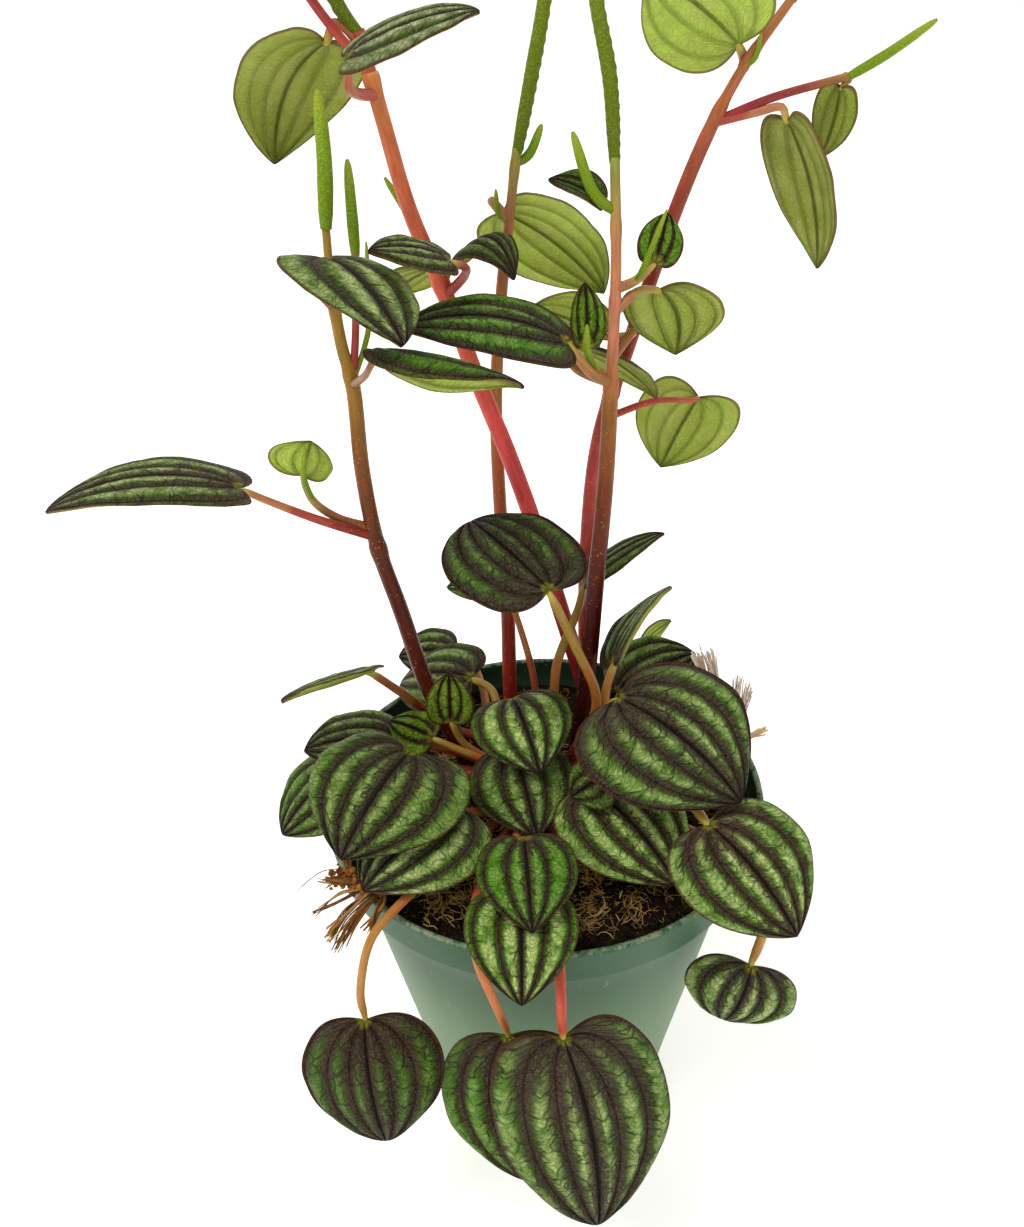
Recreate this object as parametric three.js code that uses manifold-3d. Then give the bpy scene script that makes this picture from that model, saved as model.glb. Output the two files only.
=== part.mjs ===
import * as THREE from 'three';
import Module from 'manifold-3d';

// A potted peperomia: ribbed heart-shaped leaves and five flowering stems in a round tapered pot.
// Lengths are in millimetres and +Z is up. The centre of the pot's base is the origin, -Y the front.

// Pot
const POT_HEIGHT = 86;
const RIM_RADIUS = 51;
const BAND_HEIGHT = 9.5;
const BAND_FOOT_RADIUS = 49.8;
const WALL_TOP_RADIUS = 46;
const FOOT_RADIUS = 31.5;
const WALL = 1.4;
const FLOOR = 2;
const DRAIN_HOLES = 4;
const DRAIN_HOLE_RADIUS = 3;
const DRAIN_RING_RADIUS = 21;

// Soil
const FIT_GAP = 0.3;
const SOIL_MIDDLE = 80.4;
const SOIL_SLOPE = -0.03;
const SOIL_BUMP = 0.8;
const PLANTING_DEPTH = 66;

// Leaf blades
const BLADE = 0.8;
const PANEL_BULGE = 0.028;
const WIDEST_LOW = 0.08;
const NOTCH_DEPTH = 0.26;
const TIP_POINT = 0.20;
const WIDE_BLADE = 14;
const WIDE_GRID = { half: 5, rows: [0.14, 0.36, 0.6, 0.83] };
const NARROW_GRID = { half: 3, rows: [0.18, 0.48, 0.8] };
const PETIOLE_STANDOFF = 1.2;
const PETIOLE_END_RADIUS = 0.75;

// Stems and petioles
const PETIOLE_RADIUS = 1.35;
const NODE_SWELL = 0.18;
const NODE_LENGTH = 3.4;
const SPIKE_SHAPE = [[0, 0.72], [0.12, 0.92], [0.33, 1], [0.75, 0.86], [0.93, 0.62], [1, 0.3]];
const SEED = 11;

// Every leaf: the joint with its petiole, the tip, the width and the way its upper side looks.
// cup bends the margins down, arch bows the midrib up, fold creases along the midrib,
// skew pushes the middle sideways, and lobe and point override the usual notch and tip.
const BASAL_LEAVES = [
  ['leaf_low_01', [-29, -11, 106], [-42.5, -34.5, 98], 34, [-0.3, -0.8, 1],
    { cup: 0.22, arch: 0.12, lobe: 0.34 }],
  ['leaf_low_02', [-19, -19, 97], [-38.5, -37, 91.5], 27, [-0.1, -0.4, 1], { cup: 0.2, arch: 0.12 }],
  ['leaf_low_03', [-45.5, 0, 93.5], [-60, -10, 82], 25, [-0.9, -0.5, 1], { cup: 0.2, arch: 0.08 }],
  ['leaf_low_04', [-33.5, 6, 95.6], [-55, 2, 96.6], 24, [-0.2, -0.1, 1], { cup: 0.2, arch: 0.08 }],
  ['leaf_low_05', [-25.5, 5, 97], [-35.5, 9, 99], 12, [0, -0.3, 1], { cup: 0.2, arch: 0.08 }],
  ['leaf_low_06', [-21, 5.5, 101.5], [-20.5, 4.5, 116.5], 11, [0, -1, 0.4], { cup: -0.15, arch: 0 }],
  ['leaf_low_07', [-38, 2, 119], [-55.5, -9.5, 120], 24, [-0.25, 0.6, 0.8], { cup: 0.1, arch: 0.04 }],
  ['leaf_low_08', [-16.5, 26.5, 98], [-35, 35.5, 90], 23, [-0.1, -0.2, 1], { cup: 0.15, arch: 0.12 }],
  ['leaf_low_09', [-6.5, 4.5, 108], [-1, -12, 100], 22, [0, -0.5, 1], { cup: 0.2, arch: 0.2 }],
  ['leaf_low_10', [-6.5, -2, 98], [-2, -21.5, 90], 23, [0, -0.4, 1], { cup: 0.2, arch: 0.08 }],
  ['leaf_low_11', [-5, -31, 99], [-4, -54, 96.5], 20, [0, -0.5, 1], { cup: 0.2, arch: 0.08 }],
  ['leaf_low_12', [-6, -41, 93.5], [-6.5, -62.5, 86], 22, [0, -0.6, 1], { cup: 0.14, arch: 0.18 }],
  ['leaf_low_13', [16, -9.5, 118], [39, -32, 108], 36, [0.1, -0.6, 1],
    { cup: 0.2, arch: 0.08, skew: -0.15 }],
  ['leaf_low_14', [10, -14, 97], [26.5, -35, 88], 27, [0.15, -0.5, 1],
    { cup: 0.2, arch: 0.08, skew: -0.1 }],
  ['leaf_low_15', [32.5, -34, 104], [47.5, -53, 92], 28, [0.1, -0.6, 1],
    { cup: 0.15, arch: 0.08, skew: -0.1 }],
  ['leaf_low_16', [12.5, -16.5, 102], [5.5, -20, 100], 12, [-0.1, -0.5, 1], { cup: 0.2, arch: 0.08 }],
  ['leaf_low_17', [43.5, -38, 66], [38, -40.5, 52], 25, [0.3, -0.6, 1],
    { cup: 0.2, arch: 0.2, lobe: 0.15 }],
  ['leaf_low_18', [-39.5, -49, 66], [-36, -61, 42], 30, [-0.2, -1, 0.9],
    { cup: 0.25, arch: 0.15, lobe: 0.15 }],
  ['leaf_low_19', [-9.5, -52.5, 64], [-5.5, -69, 38], 33, [-0.4, -1, 0.8],
    { cup: 0.2, arch: 0.08, lobe: 0.15 }],
  ['leaf_low_20', [1.5, -59.5, 72], [7.5, -77.5, 36], 35, [0.2, -1, 0.8],
    { cup: 0.2, arch: 0.08, lobe: 0.25, skew: -0.15 }],
  ['leaf_low_21', [1.6, -5, 143.1], [-14.4, 17, 147.3], 28.8, [-0.11, 0, 1],
    { cup: 0.06, arch: 0.08, skew: -0.15, lobe: 0.25, point: 0.05 }],
  ['leaf_low_22', [11, 23.5, 126.5], [29.5, 26.5, 137.5], 12, [-0.35, 0.1, 1],
    { cup: 0.1, arch: 0.08, lobe: 0.12 }],
  ['leaf_low_23', [16.4, 4.2, 117.6], [30.6, 18.3, 128.2], 20, [-1, 0.1, 0.5],
    { cup: -0.1, arch: 0.08 }],
  ['leaf_low_24', [19.5, 24, 94], [39, 28, 102], 25, [0, -0.2, 1], { cup: 0.15, arch: 0.08 }],
  ['leaf_low_25', [27.2, 39, 97.5], [35, 44, 101.5], 7, [0, 0.9, 0.3],
    { cup: 0.1, arch: 0.08, lobe: 0.3 }],
  ['leaf_low_26', [-21.5, 45, 93], [-36, 44.5, 92], 18, [0, -0.2, 1], { cup: 0.15, arch: 0.08 }],
  ['leaf_low_27', [-7.4, 20, 129.1], [-20.8, 22, 127.5], 9, [0, -0.4, 1],
    { cup: 0.1, arch: 0.08, lobe: 0.12 }],
];
const STEM_LEAVES = [
  ['stem_1_leaf_1', [-61.5, 10, 161], [-100, 4, 160], 23, [0, 0.05, 1], { cup: 0.1, arch: 0.12 }],
  ['stem_1_leaf_2', [-49.5, 16, 160.5], [-47, 19, 167], 15, [0, 0.8, 0.6], { cup: -0.2, arch: 0.08 }],
  ['stem_1_leaf_3', [-29.7, 6, 191.2], [-2.4, -1, 186], 21, [0, 0.5, 0.87], { cup: 0.5, arch: 0.04 }],
  ['stem_1_leaf_4', [-38.9, 12.5, 207], [-24.5, -2.8, 195.4], 28, [0.25, 0.14, 1],
    { cup: 0.1, arch: 0.13, skew: 0.24, lobe: 0.35 }],
  ['stem_2_leaf_1', [-16, 19, 204], [-31, 15, 207.5], 17, [0, -0.1, 1], { cup: 0.1, arch: 0.08 }],
  ['stem_2_leaf_2', [-14.5, 34, 199], [-3.5, 28, 197], 17, [0.2, -0.1, 1], { cup: 0.2, arch: 0.5 }],
  ['stem_2_leaf_3', [-21.5, 42, 195], [-30, 45, 188.5], 14, [-0.5, 0.8, 0.6], { cup: 0.1, arch: 0.08 }],
  ['stem_2_leaf_4', [-38, 39, 240.5], [-51, 41, 218], 27, [-0.4, 0.7, 0.6], { cup: 0.2, arch: 0.2 }],
  ['stem_2_leaf_5', [-32.1, 23.5, 239.9], [-8.3, 23.5, 246.7], 21, [0.05, -0.15, 1],
    { cup: 0.1, arch: 0.06, lobe: 0.3 }],
  ['stem_3_leaf_1', [-5, 50, 204.5], [17, 52, 185.5], 27, [0.3, 1, 0.7], { cup: 0.2, arch: 0.08 }],
  ['stem_4_leaf_1', [6.3, 14, 188.8], [-26, 14, 192.5], 22, [0, -0.2, 1], { cup: 0.12, arch: 0.12 }],
  ['stem_4_leaf_2', [10.8, 22, 185.1], [10.8, 28, 196], 7.6, [0.2, -1, 0.3], { cup: -0.3, arch: 0.08 }],
  ['stem_4_leaf_3', [15, 37, 181], [0, 38, 187.5], 18, [0.1, 0.9, 0.5], { cup: 0.1, arch: 0.08 }],
  ['stem_4_leaf_4', [9.5, 30.5, 181.5], [27.5, 34.5, 167.5], 16, [0.5, 0.7, 1],
    { cup: 0.2, arch: 0.08 }],
  ['stem_4_leaf_5', [14.5, 34, 210], [4, 36, 214.5], 9, [-0.2, -0.3, 1], { cup: -0.4, arch: 0.08 }],
  ['stem_4_leaf_6', [26.5, 30, 193.5], [31, 33, 178], 20, [0.2, 1, 0.5],
    { cup: 0.2, arch: 0.08, skew: 0.5 }],
  ['stem_4_leaf_7', [24.5, 24, 201], [27, 28, 209.5], 9, [0.1, -1, 0.4], { cup: -0.1, arch: 0.08 }],
  ['stem_5_leaf_1', [43, 50, 236], [24, 44, 249.5], 27, [0, 0.9, 0.7],
    { cup: 0.1, arch: 0.08, lobe: 0.2 }],
  ['stem_5_leaf_2', [53.5, 47, 222], [62, 43, 192.5], 19, [0.7, 0.5, 0.5], { cup: 0.3, arch: 0.08 }],
  ['stem_5_leaf_3', [64.5, 50, 227.5], [62, 50, 214], 10, [0.7, 0.6, 0.5], { cup: 0.2, arch: 0.08 }],
  ['stem_5_leaf_4', [39.5, 50, 160.5], [31.5, 52, 141.5], 24, [0.2, 1, 0.3],
    { cup: 0.05, arch: 0.08, lobe: 0.45 }],
];

// The crown, and the way each basal petiole takes from it to the joint of its leaf.
const CROWN_CENTRE = [-0.5, 2.5];
const CROWN_RADIUS = 6.5;
const CROWN_TOP = 86.8;
const BASAL_PETIOLES = [
  ['leaf_low_01', PETIOLE_RADIUS, [[-4, 4, 83], [-14, -1, 90], [-25, -9, 98]]],
  ['leaf_low_02', PETIOLE_RADIUS, [[-4, 0, 83.5], [-13, -11, 88.5], [-17, -15.5, 92.5]]],
  ['leaf_low_03', PETIOLE_RADIUS, [[-4, 5, 83.5], [-22, 6, 86.5], [-37, 5, 89.5]]],
  ['leaf_low_04', PETIOLE_RADIUS, [[-4, 5, 83], [-20, 8.5, 90]]],
  ['leaf_low_05', 1, [[-4, 5, 84], [-15, 3.5, 92]]],
  ['leaf_low_06', 1, [[-4, 5, 84], [-18, 6, 94]]],
  ['leaf_low_07', 1.2,
    [[-4, 5, 84], [-12.5, 13.3, 88.5], [-21.5, 15.9, 90.8], [-27.6, 15.2, 97.5], [-33.4, 7.6, 110]]],
  ['leaf_low_08', 1.2, [[-3, 6, 84], [-9, 13, 90], [-11.5, 22.5, 97]]],
  ['leaf_low_09', 1.2, [[-2, 4, 84], [-7, 7, 98]]],
  ['leaf_low_10', 1.2, [[-2, 2, 84], [-5.5, 1, 92]]],
  ['leaf_low_11', 1.2, [[-1, -1, 84], [-5.5, -14, 87], [-6.5, -23, 90.5], [-5.5, -28.5, 95.5]]],
  ['leaf_low_12', 1.2, [[-2, -1, 84], [-6, -24, 88]]],
  ['leaf_low_13', PETIOLE_RADIUS, [[3, 3, 84], [11, -1, 104]]],
  ['leaf_low_14', PETIOLE_RADIUS, [[2, 0, 84], [7, -8, 92]]],
  ['leaf_low_15', PETIOLE_RADIUS,
    [[3, 2, 83.5], [18, -1.5, 93.5], [26.5, -10.5, 100], [29.8, -25, 103]]],
  ['leaf_low_16', 1, [[3, 1, 84], [10.5, -5, 98], [15, -13.2, 102]]],
  ['leaf_low_17', PETIOLE_RADIUS,
    [[3, 1, 83.5], [22, -13, 88], [38, -28, 91], [44, -34, 87], [45.5, -37, 77]]],
  ['leaf_low_18', 1.1,
    [[-3, 0, 83], [-18, -22, 88], [-30.5, -38.5, 89.6], [-36.5, -45.5, 87], [-39.5, -49.5, 76]]],
  ['leaf_low_19', 1.15,
    [[-3, -1, 83.5], [-13, -25, 85.5], [-16, -44, 88.4], [-15, -52.5, 87.5], [-11.5, -55, 76]]],
  ['leaf_low_20', 1.3, [[1, -1, 83.5], [2.5, -25, 86], [1.4, -45, 88.3], [1.2, -54, 88], [1.2, -60, 80.5]]],
  ['leaf_low_21', 1.2, [[3, 3, 84], [11.5, 2, 103], [12.1, 0, 112], [6.6, -3, 129.3]]],
  ['leaf_low_22', 1.2, [[1, 5, 84], [3, 9.5, 98], [4, 12, 112], [9.4, 19.1, 122.8]]],
  ['leaf_low_23', 1.2, [[3, 5, 84], [13, 4, 98], [14.8, 2.8, 112.5]]],
  ['leaf_low_24', 1.2, [[3, 4, 83.5], [17, 8, 86], [21, 17, 87.5], [19.8, 22.4, 89]]],
  ['leaf_low_26', 1.2, [[-3, 6, 83.5], [-12, 20, 86.5], [-14, 34, 88.5], [-17.5, 44, 91]]],
  ['leaf_low_27', 0.9, [[-1, 6, 84], [-1.2, 12, 106.3], [-5, 17.6, 122]]],
];

// The five flowering stems. way is the main axis, radii its radius at shares of its length, nodes the
// shares of its length where it swells, petioles lead to leaf joints, limbs are leafless side
// shoots, and spikes are the narrow flower spikes with their radius at the foot.
const STEMS = [
  {
    name: 'flowering_stem_1',
    way: [[-17, 10, 81], [-20, 12, 90], [-26, 13, 105], [-31, 14, 127], [-35, 16, 143],
      [-37, 19, 160], [-37.5, 22, 178], [-39, 23, 186], [-40, 24.5, 198], [-40, 26, 210]],
    radii: [[0, 2], [0.74, 1.6], [0.79, 1.3], [0.87, 1.2], [0.91, 0.88], [1, 0.82]],
    nodes: [0.48, 0.77, 0.88],
    limbs: [[[-37.5, 22, 178], [-36, 24, 189], [-35, 28, 204]]],
    petioles: [
      ['stem_1_leaf_1', 1, [[-35.5, 16.3, 145], [-47, 14, 151], [-57, 11.5, 157.5]]],
      ['stem_1_leaf_2', 1, [[-35.8, 16.6, 147], [-43, 17, 149.5], [-47.6, 14.5, 155.5]]],
      ['stem_1_leaf_3', 0.85, [[-37.5, 22, 178], [-33, 9, 185.5], [-31, 4.5, 189.7]]],
      ['stem_1_leaf_4', 0.9, [[-40.2, 24.2, 194], [-42, 19, 199.5], [-41, 15, 204.5]]],
    ],
    spikes: [
      [1.6, 6, [[-40, 26, 209], [-39, 27, 222], [-39, 28, 234]]],
      [1.2, 4, [[-35, 28, 203], [-35, 29, 212], [-35, 30, 221]]],
      [0.6, 3, [[-37.5, 22, 178], [-33.2, 25, 190], [-32.5, 27, 206]]],
      [0.6, 3, [[-47.6, 14.5, 155.5], [-48.2, 12, 161.5], [-47.2, 11.5, 169.5]]],
    ],
    older: [],
  },
  {
    name: 'flowering_stem_2',
    way: [[14, 15, 87], [11, 17, 101], [5, 20, 123], [-1, 23, 145], [-6, 26, 160],
      [-12, 29, 176], [-18, 32, 194], [-24, 34, 210], [-28, 37, 226], [-30, 38, 235]],
    radii: [[0, 2.1], [0.7, 1.8], [0.76, 1.68], [1, 1.5]],
    nodes: [0.73, 0.99],
    limbs: [
      [[-30, 38, 234], [-31, 38.2, 240], [-31.6, 38, 242.4]],
      [[-30, 38, 234], [-32, 37.3, 238], [-34.8, 36, 241.6], [-39.2, 34.5, 248.2], [-41, 34, 251.6]],
    ],
    limbShares: [1, 0.64],
    petioles: [
      ['stem_2_leaf_1', 1, [[-17.5, 31.8, 193], [-13.3, 26, 199], [-13.2, 21, 202.3]]],
      ['stem_2_leaf_2', 1, [[-18, 32, 194], [-17.2, 34, 197]]],
      ['stem_2_leaf_3', 1, [[-18, 32, 194], [-20, 38, 196]]],
      ['stem_2_leaf_4', 1.1, [[-30, 38, 234], [-32.5, 38.2, 241.5], [-35.8, 38.6, 243.8]]],
      ['stem_2_leaf_5', 1.1, [[-29.2, 37.6, 231], [-32, 32, 232.4], [-33, 27, 234.4]]],
    ],
    spikes: [
      [1.45, 9, [[-31.4, 38, 241.8], [-34.4, 38, 246], [-38.4, 38.3, 256], [-43, 39, 275]]],
      [1.05, 3, [[-40.8, 34, 251.2], [-43.6, 34, 256], [-47, 34, 262]]],
      [1, 4, [[-18, 32, 194], [-23, 38, 205], [-29, 40, 215]]],
    ],
    older: [0],
  },
  {
    name: 'flowering_stem_3',
    way: [[-6, 17, 86], [-7, 20, 97], [-7, 26, 118], [-8, 32, 145], [-8, 36, 168],
      [-6, 40, 191], [-4, 42, 205], [-2, 44, 219]],
    radii: [[0, 1.8], [0.82, 1.25], [0.87, 1.05], [1, 0.95]],
    nodes: [0.85, 0.97],
    limbs: [],
    petioles: [['stem_3_leaf_1', 1.1, [[-4, 42, 205], [-7.5, 46.5, 208]]]],
    spikes: [
      [1.5, 14, [[-2, 44, 218], [1, 46, 231], [4, 48, 245], [5.5, 49, 257], [6, 49.5, 270]]],
      [1, 3, [[-2, 44, 216], [0.5, 45, 217.5], [3.2, 46, 223]]],
      [0.6, 3, [[-4, 42, 205], [-6, 42.5, 206], [-6.6, 44, 211]]],
    ],
    older: [0],
  },
  {
    name: 'flowering_stem_4',
    way: [[9, 10, 89], [11, 13, 107], [13, 15, 133], [15, 18, 156], [16, 21, 177],
      [17, 26, 199], [17, 33, 219]],
    radii: [[0, 2.2], [0.65, 1.65], [0.69, 1.2], [1, 1]],
    nodes: [0.67, 0.79, 0.9],
    limbs: [],
    petioles: [
      ['stem_4_leaf_1', 1.1, [[16, 21, 177], [11.5, 17.5, 181]]],
      ['stem_4_leaf_2', 0.9, [[16, 21, 177], [12.5, 20.5, 180.5]]],
      ['stem_4_leaf_3', 1, [[16.4, 22.5, 182], [20.5, 28, 185], [20.8, 35.2, 181.8]]],
      ['stem_4_leaf_4', 1, [[16, 21, 177], [9, 22, 180], [6, 28.5, 183]]],
      ['stem_4_leaf_5', 0.8, [[17, 29.5, 209.5], [16.5, 32.5, 210]]],
      ['stem_4_leaf_6', 1, [[16.6, 24, 191], [21.5, 26, 194.5]]],
      ['stem_4_leaf_7', 1, [[16.8, 25, 195.5], [21, 25.5, 197]]],
    ],
    spikes: [
      [1.5, 14, [[17, 33, 218], [16, 36, 233], [13.5, 39, 246], [12, 41, 258], [11.5, 42.5, 270]]],
      [1.2, 4, [[17, 29.5, 209.5], [12.8, 30.4, 213], [8.7, 33.5, 224]]],
      [0.6, 3, [[21, 25.5, 197], [22, 21.5, 201], [26, 21, 212]]],
      [0.75, 3, [[12.5, 20.5, 180.5], [10.7, 17.3, 185.6], [10.6, 16.5, 191.4]]],
    ],
    older: [0],
  },
  {
    name: 'flowering_stem_5',
    way: [[13, 22, 82], [12, 24, 95], [12, 31, 128], [15, 38, 156], [22, 42, 178],
      [32, 46, 207], [38, 48, 221], [44, 49, 232], [53, 51, 244]],
    radii: [[0, 1.9], [0.83, 1.5], [0.88, 1.1], [1, 0.9]],
    nodes: [0.5, 0.86, 0.93],
    limbs: [[[38.5, 48, 222], [50, 49, 226], [65.5, 50, 229.5]]],
    petioles: [
      ['leaf_low_25', 0.8, [[12.4, 23, 87], [19, 31, 92]]],
      ['stem_5_leaf_1', 1.1, [[44, 49, 232], [44.5, 51.5, 233]]],
      ['stem_5_leaf_2', 1, [[38.5, 48, 222], [47, 48.5, 223.5], [52.3, 47.7, 224.5]]],
      ['stem_5_leaf_3', 0.8, [[65, 50, 229.5], [66.5, 51.5, 228.8]]],
      ['stem_5_leaf_4', 0.8, [[16.2, 38.6, 161], [28, 42, 163.5], [37, 45, 162]]],
    ],
    spikes: [
      [1.1, 8, [[53, 51, 243.5], [57.5, 51.8, 250], [61, 52, 258], [63, 52.2, 265]]],
      [1.05, 4, [[65.5, 50, 229.3], [73, 50, 233.5], [82, 50, 239.5]]],
      [0.6, 3, [[44, 49, 232], [46, 47.8, 234], [46.8, 47.8, 238.5]]],
      [0.6, 3, [[23, 42.5, 181], [26.5, 40, 183.5], [31, 40, 186]]],
    ],
    older: [],
  },
];

// The coir husk lying over the front left of the rim, and the tuft of roots at the right.
const HUSK_CORE = [[-34.5, -33.5, 87.8], [-38.5, -33.8, 88.4], [-42, -31, 88.2], [-44.3, -27.5, 87.8]];
const HUSK_RADIUS = 1.5;
const HUSK_FIBRES = [
  [0.8, [[-37, -34, 89], [-42.3, -38, 87], [-46.6, -40, 81.5]]],
  [0.9, [[-35.5, -34, 88.8], [-41, -40, 86.4], [-44.5, -41.5, 80.5]]],
  [1.1, [[-34.5, -34, 88.6], [-35.5, -38.5, 87.8], [-37.5, -41.5, 84.8]]],
  [0.6, [[-43.5, -28, 89], [-47.5, -29.5, 90.4], [-53.6, -30, 85]]],
  [0.8, [[-42, -30, 89.4], [-42.8, -26, 91.5], [-42.2, -23, 92]]],
  [0.8, [[-40, -32.5, 89.4], [-44.5, -32, 89.5], [-47.5, -30.5, 88]]],
  [0.6, [[-39, -34, 89.2], [-43.5, -36, 88.6], [-49, -36.5, 84.5]]],
];
const TUFT_FOOT = [42.5, 12];
const TUFT_DEPTH = 78.4;
const TUFT_RADIUS = 1.8;
const TUFT_TOP = 84;
const TUFT_ROOTS = [
  [[42.5, 12, 82], [42, 13, 96], [37.2, 15, 111.2]],
  [[42.5, 12, 82], [43.6, 13.5, 95], [39.8, 14.5, 111.5]],
  [[42.5, 12, 82], [45.8, 12.5, 92], [46.8, 14, 104]],
  [[42.5, 12, 82], [47.3, 12.6, 90], [49, 14, 102]],
  [[42.5, 12, 82], [47.4, 10.6, 88.4], [53.2, 9, 93]],
];

const wasm = await Module();
wasm.setup();

function solidFrom(points, triangles) {
  const vertProperties = new Float32Array(points.length * 3);
  points.forEach((p, i) => vertProperties.set([p.x, p.y, p.z], i * 3));
  const triVerts = new Uint32Array(triangles.flat());
  return new wasm.Manifold(new wasm.Mesh({ numProp: 3, vertProperties, triVerts }));
}

function vec(p) {
  return new THREE.Vector3(p[0], p[1], p[2]);
}

function seeded(seed) {
  let state = seed;
  return () => {
    state = (state * 16807) % 2147483647;
    return state / 2147483647;
  };
}

// A closed body from rings of points that all hold the same number, with a pole at each end.
function ringBody(first, rings, last) {
  const points = [first, ...rings.flat(), last];
  const n = rings[0].length;
  const at = (ring, j) => 1 + ring * n + (j % n);
  const end = points.length - 1;
  const triangles = [];
  for (let j = 0; j < n; j += 1) {
    triangles.push([0, at(0, j + 1), at(0, j)]);
    for (let i = 0; i + 1 < rings.length; i += 1) {
      triangles.push([at(i, j), at(i, j + 1), at(i + 1, j + 1)]);
      triangles.push([at(i, j), at(i + 1, j + 1), at(i + 1, j)]);
    }
    triangles.push([at(rings.length - 1, j), at(rings.length - 1, j + 1), end]);
  }
  return solidFrom(points, triangles);
}

// A body turned about the vertical through (x, y) from a profile of radius and height.
function turned(profile, segments, x = 0, y = 0) {
  const ring = ([radius, z]) => Array.from({ length: segments }, (_, j) => {
    const a = (2 * Math.PI * j) / segments;
    return new THREE.Vector3(x + radius * Math.cos(a), y + radius * Math.sin(a), z);
  });
  const first = new THREE.Vector3(x, y, profile[0][1]);
  const last = new THREE.Vector3(x, y, profile[profile.length - 1][1]);
  return ringBody(first, profile.slice(1, -1).map(ring), last);
}

function upright(radius, low, high, segments, x, y) {
  return turned([[0, low], [radius, low], [radius, high], [0, high]], segments, x, y);
}

// A round body along a smooth way. shares are the places of its rings, radius gives the size
// at a share of the length and rough alternates it from side to side.
function along(way, shares, radius, sides, rough = 0) {
  const curve = new THREE.CatmullRomCurve3(way.map(vec), false, 'centripetal');
  const side = new THREE.Vector3(0.31, 0.93, 0.17);
  const rings = shares.map((u, k) => {
    const centre = curve.getPointAt(u);
    const ahead = curve.getTangentAt(u);
    side.addScaledVector(ahead, -side.dot(ahead)).normalize();
    const other = new THREE.Vector3().crossVectors(ahead, side);
    return Array.from({ length: sides }, (_, j) => {
      const a = (2 * Math.PI * (j + 0.5 * (k % 2) * Math.sign(rough))) / sides;
      const r = radius(u) * (1 + rough * ((j + k) % 2 === 0 ? 1 : -1));
      return centre.clone().addScaledVector(side, r * Math.cos(a)).addScaledVector(other, r * Math.sin(a));
    });
  });
  return ringBody(curve.getPointAt(shares[0]), rings, curve.getPointAt(shares[shares.length - 1]));
}

function evenly(count) {
  return Array.from({ length: count + 1 }, (_, i) => i / count);
}

function fused(bodies) {
  return bodies.slice(1).reduce((whole, body) => whole.add(body), bodies[0]);
}

// The outline of a half blade: t runs along its veins from the notch to the tip.
function outline(t, lobe, point) {
  const p = Math.PI * t;
  const x = 0.5 * Math.sin(p) * (1 + WIDEST_LOW * Math.cos(p));
  const y = (1 - Math.cos(p)) / 2
    - (lobe * Math.sin(p) * (1 + Math.cos(p)) ** 2) / 4
    - (point * Math.sin(p) * (1 - Math.cos(p)) ** 2) / 4;
  return [x, y];
}

// A leaf blade with raised panels between sunken veins: s runs across it from margin to margin.
function leafSurface([, joint, tip, width, faces, shape]) {
  const notch = vec(joint);
  const length = notch.distanceTo(vec(tip));
  const ey = vec(tip).sub(notch).normalize();
  const ez = vec(faces);
  ez.addScaledVector(ey, -ez.dot(ey)).normalize();
  const ex = new THREE.Vector3().crossVectors(ey, ez);
  const { cup, arch, fold = 0, skew = 0, lobe = NOTCH_DEPTH, point = TIP_POINT } = shape;
  const smooth = (s, t) => {
    const [edgeX, edgeY] = outline(t, lobe, point);
    const middle = 0.5 * t + 0.25 * (1 - Math.cos(Math.PI * t));
    const x = s * edgeX * width;
    const y = length * (middle + Math.abs(s) ** 1.7 * (edgeY - middle));
    const tau = Math.min(1, Math.max(-0.3, y / length));
    const h = x / (width / 2);
    const z = arch * length * 4 * tau * (1 - tau) - (cup * width * h * h) / 2
      - (fold * width * Math.abs(h)) / 2;
    return notch.clone()
      .addScaledVector(ex, x + skew * length * tau * (1 - tau))
      .addScaledVector(ey, y)
      .addScaledVector(ez, z);
  };
  const normal = (s, t) => {
    const step = 0.02;
    const across = t < step || t > 1 - step
      ? ex.clone()
      : smooth(Math.min(1, s + step), t).sub(smooth(Math.max(-1, s - step), t));
    const lengthwise = smooth(s, Math.min(1, t + step)).sub(smooth(s, Math.max(0, t - step)));
    return across.cross(lengthwise).normalize().multiplyScalar(-1);
  };
  return { smooth, normal, up: ez };
}

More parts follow.
